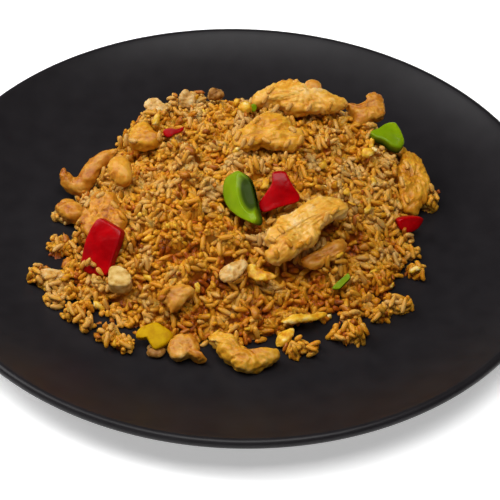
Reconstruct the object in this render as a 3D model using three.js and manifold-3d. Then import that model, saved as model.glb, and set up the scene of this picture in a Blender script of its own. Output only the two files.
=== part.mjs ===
// Plate of chicken egg fried rice.
// A black coupe plate carries a broad mound of rice, and pieces of chicken, egg, onion and
// sweet pepper lie half sunk in the rice and round its foot.
// Millimetres, +Z up. The origin is the middle of the plate's foot, on the table, and -Y is
// the side that the eye looks from.

import * as THREE from 'three';
import { mergeVertices } from 'three/addons/utils/BufferGeometryUtils.js';
import Module from 'manifold-3d';

const wasm = await Module();
wasm.setup();

// Plate: a flat well that curves up to a rounded lip, on a low foot ring
const RIM_RADIUS = 140;
const WALL = 4.2;
const WELL_RADIUS = 96;
const WELL_TOP = 6;
const WELL_RISE_POWER = 1.8;
const LIP_START = 136.8;
const LIP_HEIGHT = 20.7;
const FOOT_OUTER = 88;
const FOOT_INNER = 82;
const FOOT_RECESS = 1.8;
const PLATE_STEPS = 48;
const RISE_STEPS = 5;
const LIP_STEPS = 3;

// Air left between two pieces that touch
const GAP = 0.3;
const FOOD_FLOOR = WELL_TOP + GAP;

// One cooked grain of rice
const GRAIN_LENGTH = 6.6;
const GRAIN_WIDTH = 2.4;

// Rice heap: how far its foot reaches every 30 degrees, anticlockwise from +X, and the swells
// and hollows of its top as [x, y, spread, height]
const HEAP_REACH = [82, 92, 93, 90, 88, 83, 79, 90, 86, 79, 74, 81];
const HEAP_CREST = 27;
const HEAP_SWELLS = [
  [22, 62, 22, 17],
  [-22, 62, 22, 14],
  [56, 56, 22, 17],
  [68, 50, 15, 9],
  [74, 28, 17, 14],
  [-45, 47, 17, 11],
  [-62, 4, 16, 4],
  [5, 22, 26, 7],
  [66, -24, 16, 3],
  [24, -6, 18, 6],
  [-30, -8, 22, 3],
  [-8, -44, 24, 3],
];
const HEAP_HOLLOWS = [
  [34, -40, 20, -5],
  [26, -42, 7, -3],
  [50, -29, 6, -4],
  [-33, 43, 5, -4],
  [-59, -51, 6, -3],
  [-13, -59, 7, -3],
  [-10, 17, 5, -3],
  [-56, -3, 6, -3],
];
const HEAP_RINGS = 22;
const HEAP_EDGE = 0.9;
const CLUMP_SIZE = 9;
const CLUMP_RELIEF = 1.5;

// Colours of the pieces, as they are seen
const SKIN = {
  plate: '#262426',
  rice: '#c58f42',
  chicken: '#d8a448',
  chickenDark: '#b9701c',
  egg: '#e0a520',
  onion: '#d3b276',
  red: '#a00010',
  green: '#6f9210',
  yellow: '#caa310',
};

// Small helpers

function random(seed) {
  let state = seed * 2654435761 + 97;
  return () => {
    state = (Math.imul(state ^ (state >>> 15), 2246822507) + 0x9e3779b9) | 0;
    const mixed = Math.imul(state ^ (state >>> 13), 3266489909);
    return ((mixed ^ (mixed >>> 16)) >>> 0) / 4294967296;
  };
}

// A steady random number for a cell of a lattice
function cellNoise(i, j, salt) {
  const value = Math.sin(i * 127.1 + j * 311.7 + salt * 74.7) * 43758.5453;
  return value - Math.floor(value);
}

function smoothNoise(x, y, size, salt) {
  const i = Math.floor(x / size);
  const j = Math.floor(y / size);
  const u = THREE.MathUtils.smoothstep(x / size - i, 0, 1);
  const v = THREE.MathUtils.smoothstep(y / size - j, 0, 1);
  const low = THREE.MathUtils.lerp(cellNoise(i, j, salt), cellNoise(i + 1, j, salt), u);
  const high = THREE.MathUtils.lerp(cellNoise(i, j + 1, salt), cellNoise(i + 1, j + 1, salt), u);
  return THREE.MathUtils.lerp(low, high, v) * 2 - 1;
}

// A smooth value from a short list, with t from 0 at its start to 1 at its end
function along(list, t) {
  const place = t * (list.length - 1);
  const i = Math.min(Math.floor(place), list.length - 2);
  const u = THREE.MathUtils.smoothstep(place - i, 0, 1);
  return THREE.MathUtils.lerp(list[i], list[i + 1], u);
}

function geometryOf(points, faces) {
  const geometry = new THREE.BufferGeometry();
  geometry.setAttribute('position', new THREE.Float32BufferAttribute(points.flat(), 3));
  geometry.setIndex(faces.flat());
  return geometry;
}

// One closed body for joining and cutting, with its faces turned out
function toSolid(source) {
  const bare = source.clone();
  bare.deleteAttribute('normal');
  bare.deleteAttribute('uv');
  const merged = mergeVertices(bare, 1e-4);
  const index = Array.from(merged.index.array);
  const faces = [];
  for (let i = 0; i < index.length; i += 3) {
    const [a, b, c] = index.slice(i, i + 3);
    if (a !== b && b !== c && c !== a) {
      faces.push(a, b, c);
    }
  }
  const vertProperties = Float32Array.from(merged.attributes.position.array);
  const build = (list) => new wasm.Manifold(
    new wasm.Mesh({ numProp: 3, vertProperties, triVerts: Uint32Array.from(list) }),
  );
  const solid = build(faces);
  return solid.volume() > 0 ? solid : build(faces.reverse());
}

function toGeometry(solid) {
  const mesh = solid.getMesh();
  const geometry = new THREE.BufferGeometry();
  geometry.setAttribute('position', new THREE.BufferAttribute(mesh.vertProperties, 3));
  geometry.setIndex(Array.from(mesh.triVerts));
  geometry.computeVertexNormals();
  return geometry;
}

// The same shape with its skin moved out by a distance, to cut room for it
function swollen(source, distance) {
  const bare = source.clone();
  bare.deleteAttribute('normal');
  bare.deleteAttribute('uv');
  const merged = mergeVertices(bare, 1e-4);
  merged.computeVertexNormals();
  const at = merged.attributes.position;
  const out = merged.attributes.normal;
  for (let i = 0; i < at.count; i += 1) {
    at.setXYZ(
      i,
      at.getX(i) + out.getX(i) * distance,
      at.getY(i) + out.getY(i) * distance,
      at.getZ(i) + out.getZ(i) * distance,
    );
  }
  return merged;
}

// A cut can leave loose scrap: the largest body is the piece
function largest(solid) {
  return solid.decompose().sort((a, b) => b.volume() - a.volume())[0];
}

// Plate

function wellHeight(radius) {
  const climb = Math.max(0, (radius - WELL_RADIUS) / (LIP_START - WELL_RADIUS));
  return WELL_TOP + (LIP_HEIGHT - WELL_TOP) * climb ** WELL_RISE_POWER;
}

function plate() {
  const lip = WALL / 2;
  const upper = [new THREE.Vector2(0, WELL_TOP)];
  const lower = [new THREE.Vector2(0, FOOT_RECESS)];
  lower.push(new THREE.Vector2(FOOT_INNER - 1, FOOT_RECESS));
  lower.push(new THREE.Vector2(FOOT_INNER, 0));
  lower.push(new THREE.Vector2(FOOT_OUTER, 0));
  lower.push(new THREE.Vector2(FOOT_OUTER + 1, FOOT_RECESS));
  for (let i = 0; i <= RISE_STEPS; i += 1) {
    const radius = THREE.MathUtils.lerp(WELL_RADIUS, LIP_START, i / RISE_STEPS);
    const slope = (wellHeight(radius + 0.01) - wellHeight(radius - 0.01)) / 0.02;
    const lean = Math.atan(slope);
    upper.push(new THREE.Vector2(radius, wellHeight(radius)));
    lower.push(new THREE.Vector2(
      radius + Math.sin(lean) * WALL,
      wellHeight(radius) - Math.cos(lean) * WALL,
    ));
  }
  const top = upper[upper.length - 1];
  const under = lower[lower.length - 1];
  const middle = top.clone().add(under).multiplyScalar(0.5);
  const start = Math.atan2(top.y - middle.y, top.x - middle.x);
  const lipPoints = [];
  for (let i = 1; i < LIP_STEPS; i += 1) {
    const angle = start - (Math.PI * i) / LIP_STEPS;
    const x = middle.x + lip * Math.cos(angle);
    const y = middle.y + lip * Math.sin(angle);
    lipPoints.push(new THREE.Vector2(x, y));
  }
  const profile = [...upper, ...lipPoints, ...lower.reverse()];
  return new THREE.LatheGeometry(profile, PLATE_STEPS).rotateX(Math.PI / 2);
}

// Rice heap

function heapReach(angle) {
  const count = HEAP_REACH.length;
  const turn = ((angle / (2 * Math.PI)) * count + count) % count;
  const i = Math.floor(turn);
  const t = turn - i;
  const at = (k) => HEAP_REACH[(k + count) % count];
  const [p0, p1, p2, p3] = [at(i - 1), at(i), at(i + 1), at(i + 2)];
  const cubic = (3 * p1 - p0 - 3 * p2 + p3) * t ** 3;
  return 0.5 * (2 * p1 + (p2 - p0) * t + (2 * p0 - 5 * p1 + 4 * p2 - p3) * t ** 2 + cubic);
}

// Height of the bare heap above the table, without its grains
function heapHeight(x, y) {
  const part = Math.hypot(x, y) / heapReach(Math.atan2(y, x));
  if (part >= 1) {
    return FOOD_FLOOR;
  }
  const fade = 1 - part ** 6;
  let height = HEAP_CREST * (1 - part ** 3);
  for (const [sx, sy, spread, swell] of [...HEAP_SWELLS, ...HEAP_HOLLOWS]) {
    const far = ((x - sx) ** 2 + (y - sy) ** 2) / spread ** 2;
    height += swell * Math.exp(-far) * fade;
  }
  return FOOD_FLOOR + Math.max(height, 0);
}

// Bumps of the size of a grain, each with its own place and direction
function grainRelief(x, y) {
  const cell = GRAIN_LENGTH / 2;
  const ci = Math.floor(x / cell);
  const cj = Math.floor(y / cell);
  let bump = 0;
  for (let i = ci - 1; i <= ci + 1; i += 1) {
    for (let j = cj - 1; j <= cj + 1; j += 1) {
      const turn = cellNoise(i, j, 3) * Math.PI;
      const dx = x - (i + cellNoise(i, j, 1)) * cell;
      const dy = y - (j + cellNoise(i, j, 2)) * cell;
      const u = (dx * Math.cos(turn) + dy * Math.sin(turn)) / (GRAIN_LENGTH / 2);
      const v = (dy * Math.cos(turn) - dx * Math.sin(turn)) / (GRAIN_WIDTH / 2);
      bump = Math.max(bump, 1 - u * u - v * v);
    }
  }
  return Math.sqrt(bump) * GRAIN_WIDTH - GRAIN_WIDTH / 2;
}

function heapCore() {
  const points = [[0, 0, heapHeight(0, 0)]];
  const ringStart = [0];
  for (let k = 1; k <= HEAP_RINGS; k += 1) {
    ringStart.push(points.length);
    for (let q = 0; q < 6 * k; q += 1) {
      const angle = (2 * Math.PI * q) / (6 * k);
      const radius = heapReach(angle) * (k / HEAP_RINGS);
      const x = radius * Math.cos(angle);
      const y = radius * Math.sin(angle);
      const relief = grainRelief(x, y) + CLUMP_RELIEF * smoothNoise(x, y, CLUMP_SIZE, 5);
      points.push([x, y, Math.max(heapHeight(x, y) + relief, FOOD_FLOOR + HEAP_EDGE)]);
    }
  }
  const faces = [];
  for (let k = 0; k < HEAP_RINGS; k += 1) {
    const inside = (j) => (k === 0 ? 0 : ringStart[k] + (j % (6 * k)));
    const outside = (j) => ringStart[k + 1] + (j % (6 * (k + 1)));
    for (let sector = 0; sector < 6; sector += 1) {
      for (let j = 0; j <= k; j += 1) {
        const near = inside(sector * k + j);
        const far = sector * (k + 1) + j;
        faces.push([near, outside(far), outside(far + 1)]);
        if (j < k) {
          faces.push([near, outside(far + 1), inside(sector * k + j + 1)]);
        }
      }
    }
  }
  const edgeCount = 6 * HEAP_RINGS;
  const edge = ringStart[HEAP_RINGS];
  const foot = points.length;
  for (let q = 0; q < edgeCount; q += 1) {
    const [x, y] = points[edge + q];
    points.push([x, y, FOOD_FLOOR]);
  }
  const middle = points.length;
  points.push([0, 0, FOOD_FLOOR]);
  for (let q = 0; q < edgeCount; q += 1) {
    const next = (q + 1) % edgeCount;
    faces.push([edge + q, foot + q, foot + next]);
    faces.push([edge + q, foot + next, edge + next]);
    faces.push([middle, foot + next, foot + q]);
  }
  return geometryOf(points, faces);
}

function grain(x, y, z, turn, tilt) {
  const shape = new THREE.SphereGeometry(0.5, 5, 4).rotateZ(Math.PI / 2);
  shape.scale(GRAIN_LENGTH, GRAIN_WIDTH, GRAIN_WIDTH * 0.9);
  shape.rotateY(-tilt);
  shape.rotateZ(turn);
  shape.translate(x, y, z);
  return shape;
}

// Loose clusters that hang together past the heap's foot, as [angle, width, grains]
const FOOT_CLUSTERS = [
  [-55, 8, 5],
  [-37, 7, 4],
  [-22, 7, 4],
  [-71, 4, 3],
  [-97, 6, 3],
  [-127, 7, 3],
  [-143, 7, 4],
  [-157, 5, 5],
  [12, 6, 3],
];
const FOOT_GRAINS = 10;

function fusedGrains() {
  const draw = random(11);
  const grains = [];
  const setAtFoot = (angle, past) => {
    const reach = heapReach(angle) + past;
    const x = reach * Math.cos(angle);
    const y = reach * Math.sin(angle);
    const lift = GRAIN_WIDTH * (0.45 + 0.5 * draw());
    grains.push(grain(x, y, FOOD_FLOOR + lift, draw() * Math.PI, (draw() - 0.5) * 0.2));
  };
  for (const [degrees, width, count] of FOOT_CLUSTERS) {
    for (let i = 0; i < count; i += 1) {
      const spread = (i / (count - 1) - 0.5) * width;
      setAtFoot(THREE.MathUtils.degToRad(degrees + spread), 0.5 + 3.5 * draw());
    }
  }
  for (let i = 0; i < FOOT_GRAINS; i += 1) {
    setAtFoot(((i + 0.6 * draw()) / FOOT_GRAINS) * 2 * Math.PI, 1.5 * draw());
  }
  return grains;
}

// Toppings

// A soft piece along a line: round ends, a flattened round section and an uneven skin.
// lean turns the wide side of the section about the line, 0 lies flat.
function morsel({ line, wide, thick, lean = 0, rough = 0.08, seed = 1, steps = 9, sides = 8 }) {
  const curve = new THREE.CatmullRomCurve3(line.map((p) => new THREE.Vector3(...p)));
  const draw = random(seed);
  const waves = [1, 2, 3].map((turns) => ({ turns, phase: draw() * 6.3, drift: 3 + 5 * draw() }));
  const points = [curve.getPoint(0).toArray()];
  for (let i = 1; i < steps - 1; i += 1) {
    const t = (1 - Math.cos((Math.PI * i) / (steps - 1))) / 2;
    const round = (1 - Math.abs(2 * t - 1) ** 3) ** 0.5;
    const middle = curve.getPoint(t);
    const ahead = curve.getTangent(t);
    const across = new THREE.Vector3(0, 0, 1).cross(ahead).normalize();
    const rise = ahead.clone().cross(across).normalize();
    const turn = THREE.MathUtils.degToRad(Array.isArray(lean) ? along(lean, t) : lean);
    for (let j = 0; j < sides; j += 1) {
      const angle = (2 * Math.PI * j) / sides;
      let swell = 1;
      for (const { turns, phase, drift } of waves) {
        swell += rough * Math.sin(turns * angle + phase + drift * t);
      }
      const u = Math.cos(angle) * along(wide, t) * round * swell;
      const v = Math.sin(angle) * along(thick, t) * round * swell;
      const a = u * Math.cos(turn) - v * Math.sin(turn);
      const b = u * Math.sin(turn) + v * Math.cos(turn);
      const at = middle.clone().addScaledVector(across, a).addScaledVector(rise, b);
      points.push(at.toArray());
    }
  }
  points.push(curve.getPoint(1).toArray());
  const last = points.length - 1;
  const rings = steps - 2;
  const at = (ring, j) => 1 + ring * sides + (j % sides);
  const faces = [];
  for (let j = 0; j < sides; j += 1) {
    faces.push([0, at(0, j + 1), at(0, j)]);
    faces.push([last, at(rings - 1, j), at(rings - 1, j + 1)]);
    for (let ring = 0; ring < rings - 1; ring += 1) {
      faces.push([at(ring, j), at(ring, j + 1), at(ring + 1, j + 1)]);
      faces.push([at(ring, j), at(ring + 1, j + 1), at(ring + 1, j)]);
    }
  }
  return geometryOf(points, faces);
}

// A cut piece of sweet pepper's wall: a bent sheet with the skin outside and square cut edges.
// ends are the two half widths, slant pushes one long edge along the other.
function pepperWall({ at, run, face, length, ends, wall, bend, curl, slant = 0 }) {
  const lengthSteps = length > 11 ? 4 : 3;
  const widthSteps = length > 11 ? 3 : 2;
  const points = [];
  for (const side of [1, -1]) {
    for (let i = 0; i <= lengthSteps; i += 1) {
      for (let j = 0; j <= widthSteps; j += 1) {
        const t = i / lengthSteps;
        const s = (2 * j) / widthSteps - 1;
        const y = s * along(ends, t);
        const x = (t - 0.5) * length + s * slant;
        const normal = new THREE.Vector3(x / bend, y / curl, 1).normalize();
        const sheet = new THREE.Vector3(x, y, -(x * x) / (2 * bend) - (y * y) / (2 * curl));
        points.push(sheet.addScaledVector(normal, (side * wall) / 2).toArray());
      }
    }
  }
  const sheetSize = (lengthSteps + 1) * (widthSteps + 1);
  const index = (side, i, j) => side * sheetSize + i * (widthSteps + 1) + j;
  const faces = [];
  for (let i = 0; i < lengthSteps; i += 1) {
    for (let j = 0; j < widthSteps; j += 1) {
      const [a, b, c, d] = [[i, j], [i + 1, j], [i + 1, j + 1], [i, j + 1]];
      faces.push([index(0, ...a), index(0, ...b), index(0, ...c)]);
      faces.push([index(0, ...a), index(0, ...c), index(0, ...d)]);
      faces.push([index(1, ...a), index(1, ...c), index(1, ...b)]);
      faces.push([index(1, ...a), index(1, ...d), index(1, ...c)]);
    }
  }
  const border = [];
  for (let i = 0; i < lengthSteps; i += 1) {
    border.push([i, 0]);
  }
  for (let j = 0; j < widthSteps; j += 1) {
    border.push([lengthSteps, j]);
  }
  for (let i = lengthSteps; i > 0; i -= 1) {
    border.push([i, widthSteps]);
  }
  for (let j = widthSteps; j > 0; j -= 1) {
    border.push([0, j]);
  }
  border.forEach((here, k) => {
    const next = border[(k + 1) % border.length];
    faces.push([index(0, ...here), index(1, ...here), index(1, ...next)]);
    faces.push([index(0, ...here), index(1, ...next), index(0, ...next)]);
  });
  const out = new THREE.Vector3(...face).normalize();
  const ahead = new THREE.Vector3(...run);
  ahead.addScaledVector(out, -ahead.dot(out)).normalize();
  const across = out.clone().cross(ahead);
  const place = new THREE.Matrix4().makeBasis(ahead, across, out).setPosition(...at);
  return geometryOf(points, faces).applyMatrix4(place);
}

// Points given as [x, y, lift], with the lift over the bare heap
function laid(points) {
  return points.map(([x, y, lift]) => [x, y, heapHeight(x, y) + lift]);
}

// Chicken: the large pieces first, then the flakes
const CHICKEN = {
  chicken_centre: {
    line: [[12, -40, 31], [21, -33, 32.5], [31, -24, 33], [45, -12, 32]],
    wide: [9, 12, 11, 4],
    thick: [4, 5, 4.5, 2.5],
    lean: [-30, -24, -16, -8],
    seed: 21,
  },
  chicken_back_top: {
    line: [[4, 50, 40.5], [14, 55, 42], [25, 57, 42.5], [36, 54, 40], [44, 49, 37.5]],
    wide: [4, 8.5, 9, 8, 6],
    thick: [4, 6.5, 6.5, 5.5, 4],
    lean: -24,
    seed: 22,
  },
  chicken_back_hook: {
    line: [[44, 52, 34], [51, 54, 33.5], [58, 55, 34], [62.5, 56, 38], [61, 57, 41.5]],
    wide: [7, 7.5, 6.5, 4, 3],
    thick: [5, 6, 5.5, 4, 3],
    lean: [-30, -20, 0, 0, 0],
    rough: 0.05,
    seed: 23,
  },
  chicken_back_mid: {
    line: [[-4, 22, 42], [4, 26, 43.5], [14, 26, 43.5], [27, 31, 40.5]],
    wide: [6, 11, 11, 7],
    thick: [3, 5, 5, 3],
    lean: -18,
    seed: 24,
  },
  chicken_right: {
    line: [[75, 44, 21], [80, 36, 20], [82, 26, 16.5], [77, 14, 12]],
    wide: [6, 9, 9.5, 7],
    thick: [4, 6, 6, 5],
    lean: -42,
    seed: 25,
  },
  chicken_left_pale: {
    line: laid([[-53, -3, 1.5], [-59, -14, 2.2], [-67, -24, 1.2]]),
    wide: [7, 11, 7],
    thick: [3.5, 5, 3.5],
    lean: 12,
    seed: 26,
  },
  chicken_left_hook: {
    line: [[-81, 23, 18.5], [-78, 20, 12.5], [-72, 20, 13], [-67, 25, 19], [-58, 30, 25]],
    wide: [1.8, 3.6, 4.4, 4.2, 3],
    thick: [1.8, 3.4, 4.2, 4, 3],
    rough: 0.05,
    seed: 27,
  },
  chicken_back_left: {
    line: laid([[-52, 31, 1], [-44, 32, 1.6], [-36, 31, 1.2]]),
    wide: [5, 8, 6],
    thick: [3.5, 5, 4],
    seed: 28,
  },
  chicken_left_lump: {
    line: laid([[-58, 6, 1], [-52, 6, 1.5], [-46, 5, 1]]),
    wide: [6, 9, 6],
    thick: [3.5, 4.8, 3.5],
    lean: -10,
    seed: 29,
  },
  chicken_front_strip: {
    line: [[-11, -75, 12.5], [-3, -79, 11.3], [7, -84.5, 10.6], [19, -84.5, 10]],
    wide: [4.4, 5, 6.4, 5],
    thick: [3, 3.8, 4, 3.4],
    lean: -14,
    seed: 30,
  },
  chicken_front_lobed: {
    line: laid([[-33, -65, 0.6], [-25, -63, 1.2], [-18, -59, 0.8]]),
    wide: [3.8, 6.2, 4],
    thick: [2.5, 3.6, 2.5],
    lean: -20,
    seed: 31,
  },
  chicken_front_ribbed: {
    line: [[-28, -80, 10], [-21, -80, 10.6], [-12, -84.5, 8.6]],
    wide: [5, 5.6, 2],
    thick: [3.2, 4, 2],
    lean: -10,
    seed: 32,
  },
  chicken_left_clump: {
    line: [[-84, 5, 10.5], [-78, 3, 11.5], [-70, 0, 12]],
    wide: [3, 4.8, 4],
    thick: [2.6, 4, 4],
    seed: 33,
  },
  chicken_flake_right: {
    line: laid([[29, -40, 0.5], [37, -37, 1], [46, -29, 0.8]]),
    wide: [3, 5, 3],
    thick: [2, 3, 2.2],
    lean: -20,
    seed: 34,
  },
  chicken_back_crust: {
    line: [[27, 61, 45], [31, 62, 46.5], [35.5, 61, 45]],
    wide: [2.6, 3.6, 2.6],
    thick: [2.6, 3.6, 2.6],
    seed: 35,
  },
};

// Egg: thin folds of set omelette
const EGG = {
  egg_strip_front: {
    line: laid([[19, -66, 0.6], [25, -63.5, 0.8], [31, -61.5, 0.8], [38, -58, 0.6]]),
    wide: [2.2, 3.2, 2.8, 2],
    thick: [1.3, 1.8, 1.5, 1.2],
    lean: -30,
    seed: 41,
  },
  egg_piece_front: {
    line: laid([[17, -74, 0.6], [20, -71, 0.8], [24, -67, 0.6]]),
    wide: [2.4, 3.6, 2.4],
    thick: [1.5, 2, 1.6],
    lean: -20,
    seed: 42,
  },
  egg_fold: {
    line: laid([[2, -50, 0.5], [9, -50.5, 0.7], [17, -51.5, 0.5]]),
    wide: [2.4, 3.4, 2.4],
    thick: [1.4, 1.9, 1.4],
    lean: -25,
    seed: 43,
  },
  egg_bit_back: {
    line: laid([[-3, 46, 0.4], [0.5, 46, 0.6], [4, 46, 0.4]]),
    wide: [2.6, 3.2, 2.4],
    thick: [2, 2.6, 2],
    seed: 44,
  },
  egg_spike: {
    line: [[-40.5, 36.5, 35], [-39.5, 38, 38], [-38, 40, 42]],
    wide: [2.2, 1.8, 0.8],
    thick: [1.8, 1.5, 0.8],
    seed: 45,
  },
  egg_bit_right: {
    line: laid([[69, 36, 0.4], [72, 38.5, 0.6], [75, 41.5, 0.4]]),
    wide: [2.2, 2.8, 2.2],
    thick: [1.8, 2.3, 1.8],
    lean: -30,
    seed: 46,
  },
  egg_bit_mid: {
    line: laid([[53, 25, 0.4], [56, 25.5, 0.6], [59.5, 26, 0.4]]),
    wide: [1.8, 2.6, 1.8],
    thick: [1.6, 2, 1.6],
    seed: 47,
  },
};

// Onion: pale layers, softened in the pan
const ONION = {
  onion_mid: {
    line: laid([[-8, -56, 0.4], [-2, -53, 0.6], [4, -49, 0.4]]),
    wide: [3.6, 5.4, 3.6],
    thick: [1.4, 1.9, 1.4],
    lean: -20,
    seed: 51,
  },
  onion_back_flake: {
    line: laid([[-46, 50, 1], [-40, 52, 1.2], [-34, 51, 1]]),
    wide: [3.6, 5, 3.4],
    thick: [1.8, 2.4, 1.8],
    lean: -35,
    seed: 52,
  },
  onion_back_lump: {
    line: laid([[-27, 57, -2], [-26.5, 58, 1.5], [-26, 59, 5]]),
    wide: [4, 4.4, 2.6],
    thick: [2.6, 3, 2],
    lean: 90,
    seed: 53,
  },
  onion_back_brown: {
    line: laid([[-18, 58, 0], [-14, 59, 1], [-10, 58, 0]]),
    wide: [2.8, 3.8, 2.8],
    thick: [2.4, 3.4, 2.4],
    seed: 54,
  },
  onion_front: {
    line: [[-36, -81, 7.9], [-32, -80.5, 8], [-28, -79.5, 7.9]],
    wide: [1.8, 2.4, 1.8],
    thick: [1.5, 1.7, 1.5],
    seed: 55,
  },
  flake_far_left: {
    line: [[-87, -36, 9.5], [-81, -39, 10.5], [-74, -40, 11]],
    wide: [3, 4.2, 3.6],
    thick: [2, 2.8, 2.4],
    seed: 56,
  },
};

// A thick block of onion with two curved layers, cut square
const ONION_CHUNK = {
  at: [-49.5, -51.5, 20.5],
  run: [0.35, -1, -0.35],
  face: [-0.1, -0.5, 0.85],
  length: 12.5,
  ends: [3.8, 4.8],
  wall: 6,
  bend: 40,
  curl: 18,
};

// Sweet pepper: pieces of wall, 3 to 5 mm thick
const PEPPER = {
  red_left: {
    at: [-60, -32, 25.5],
    run: [-0.16, -1, -0.35],
    face: [-0.3, -0.35, 0.9],
    length: 25,
    ends: [5.2, 6.6],
    wall: 4,
    bend: 60,
    curl: 14,
    slant: -1.8,
  },
  red_mid: {
    at: [17, -10.5, 41],
    run: [-0.02, -1, -0.25],
    face: [0.1, -0.35, 0.92],
    length: 18,
    ends: [2.8, 8.8],
    wall: 4,
    bend: 30,
    curl: 22,
    slant: 0.8,
  },
  red_right: {
    at: [77.5, -2, 12],
    run: [1, 0.75, -0.15],
    face: [0.35, -0.5, 0.8],
    length: 13,
    ends: [3.8, 3],
    wall: 3.4,
    bend: 26,
    curl: 24,
  },
  red_back_sliver: {
    at: [-32, 33, 36],
    run: [1, 0.12, 0.1],
    face: [0, -0.6, 0.8],
    length: 10,
    ends: [2.4, 1.2],
    wall: 2.2,
    bend: 40,
    curl: 20,
  },
  green_mid: {
    at: [0.5, -14, 39.5],
    run: [0.32, -1, -0.22],
    face: [-0.75, -0.2, 0.62],
    length: 27,
    ends: [6.2, 4.6],
    wall: 4.6,
    bend: 20,
    curl: 24,
  },
  green_right: {
    at: [66, 50, 30],
    run: [1, 0.12, -0.12],
    face: [0.1, -0.4, 0.9],
    length: 17,
    ends: [5.2, 6.2],
    wall: 5,
    bend: 40,
    curl: 15,
    slant: 1.5,
  },
  green_sliver_front: {
    at: [44, -44, 17.4],
    run: [0.66, 0.7, 0.25],
    face: [-0.3, -0.5, 0.8],
    length: 10.5,
    ends: [1.3, 1.5],
    wall: 1.8,
    bend: 24,
    curl: 12,
  },
  green_tiny_back: {
    at: [5, 48, 41.6],
    run: [0.3, 0.4, 1],
    face: [0.2, -1, 0.2],
    length: 5,
    ends: [1.2, 1.6],
    wall: 1.6,
    bend: 20,
    curl: 12,
  },
};

// The yellow pepper piece is folded into two arms
const YELLOW = {
  line: [[-41, -74, 10.4], [-35, -73.5, 12.6], [-30, -74.5, 12.2], [-28.5, -78.5, 9.4]],
  wide: [2.8, 3.8, 4.8, 4],
  thick: [1.6, 2.1, 2.3, 2],
  lean: -24,
  rough: 0.04,
  seed: 61,
};

// Every topping with its shape, the room it needs and its colour.
// An earlier one keeps its form where two meet.
function toppings() {
  const list = [];
  const addWall = (name, sizes, colour) => {
    const roomy = {
      ...sizes,
      length: sizes.length + 2 * GAP,
      wall: sizes.wall + 2 * GAP,
      ends: sizes.ends.map((half) => half + GAP),
    };
    list.push({ name, colour, shape: pepperWall(sizes), room: pepperWall(roomy) });
  };
  const addMorsel = (name, sizes, colour) => {
    const shape = morsel(sizes);
    list.push({ name, colour, shape, room: swollen(shape, GAP * 1.4) });
  };
  for (const [name, sizes] of Object.entries(PEPPER)) {
    addWall(name, sizes, SKIN[name.split('_')[0]]);
  }
  addMorsel('yellow_front', YELLOW, SKIN.yellow);
  addWall('onion_chunk', ONION_CHUNK, SKIN.onion);
  for (const [name, sizes] of Object.entries(CHICKEN)) {
    const dark = name.endsWith('hook') || name.endsWith('crust');
    const finish = sizes.line.length > 3 ? { steps: 9, sides: 8 } : { steps: 7, sides: 7 };
    addMorsel(name, { ...finish, ...sizes }, dark ? SKIN.chickenDark : SKIN.chicken);
  }
  for (const [name, sizes] of Object.entries(EGG)) {
    addMorsel(name, { steps: 7, sides: 6, ...sizes }, SKIN.egg);
  }
  for (const [name, sizes] of Object.entries(ONION)) {
    addMorsel(name, { steps: 7, sides: 6, ...sizes }, SKIN.onion);
  }
  return list;
}

// Everything below the food's floor, to trim what would sink into the plate
function underFloor() {
  const side = RIM_RADIUS * 2;
  return toSolid(new THREE.BoxGeometry(side, side, side).translate(0, 0, FOOD_FLOOR - side / 2));
}

function meshOf(name, geometry, colour, roughness) {
  const material = new THREE.MeshStandardMaterial({ color: colour, roughness, metalness: 0 });
  const mesh = new THREE.Mesh(geometry, material);
  mesh.name = name;
  return mesh;
}

function build() {
  const group = new THREE.Group();
  group.add(meshOf('plate', toGeometry(toSolid(plate())), SKIN.plate, 0.45));

  const floor = underFloor();
  let rice = toSolid(heapCore());
  for (const one of fusedGrains()) {
    rice = rice.add(toSolid(one));
  }
  rice = rice.subtract(floor);

  const done = [];
  for (const topping of toppings()) {
    const room = toSolid(topping.room);
    topping.room.computeBoundingBox();
    const box = topping.room.boundingBox;
    let solid = toSolid(topping.shape).subtract(floor);
    for (const other of done) {
      if (box.intersectsBox(other.box)) {
        solid = solid.subtract(other.room);
      }
    }
    rice = rice.subtract(room);
    done.push({ room, box });
    group.add(meshOf(topping.name, toGeometry(largest(solid)), topping.colour, 0.5));
  }
  group.add(meshOf('rice_heap', toGeometry(largest(rice)), SKIN.rice, 0.6));
  return group;
}

export default build();
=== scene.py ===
# %% [markdown]
# # A plate of chicken egg fried rice
# A black coupe plate carries a broad mound of fried rice, with pieces of chicken, egg, onion
# and sweet pepper lying in it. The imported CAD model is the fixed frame: every piece made here
# stands in for one of its nodes and keeps its place.
# All sizes in this lesson are real millimetres, and one helper turns them into Blender's metres.

# %% Load the frame
import math

import bpy
import numpy as np
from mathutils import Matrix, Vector, noise
from mathutils.bvhtree import BVHTree


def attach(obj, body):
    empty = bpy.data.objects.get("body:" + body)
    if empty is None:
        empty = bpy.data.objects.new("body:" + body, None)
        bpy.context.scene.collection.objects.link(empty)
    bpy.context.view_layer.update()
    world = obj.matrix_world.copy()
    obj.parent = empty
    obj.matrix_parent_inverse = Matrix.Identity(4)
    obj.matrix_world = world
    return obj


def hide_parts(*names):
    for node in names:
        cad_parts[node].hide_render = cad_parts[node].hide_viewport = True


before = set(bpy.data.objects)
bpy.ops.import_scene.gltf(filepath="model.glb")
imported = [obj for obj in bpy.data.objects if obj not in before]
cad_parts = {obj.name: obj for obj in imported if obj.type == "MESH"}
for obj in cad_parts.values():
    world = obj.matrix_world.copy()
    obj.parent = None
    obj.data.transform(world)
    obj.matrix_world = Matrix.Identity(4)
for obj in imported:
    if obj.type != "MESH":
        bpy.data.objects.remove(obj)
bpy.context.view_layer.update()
MM = 0.001

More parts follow.
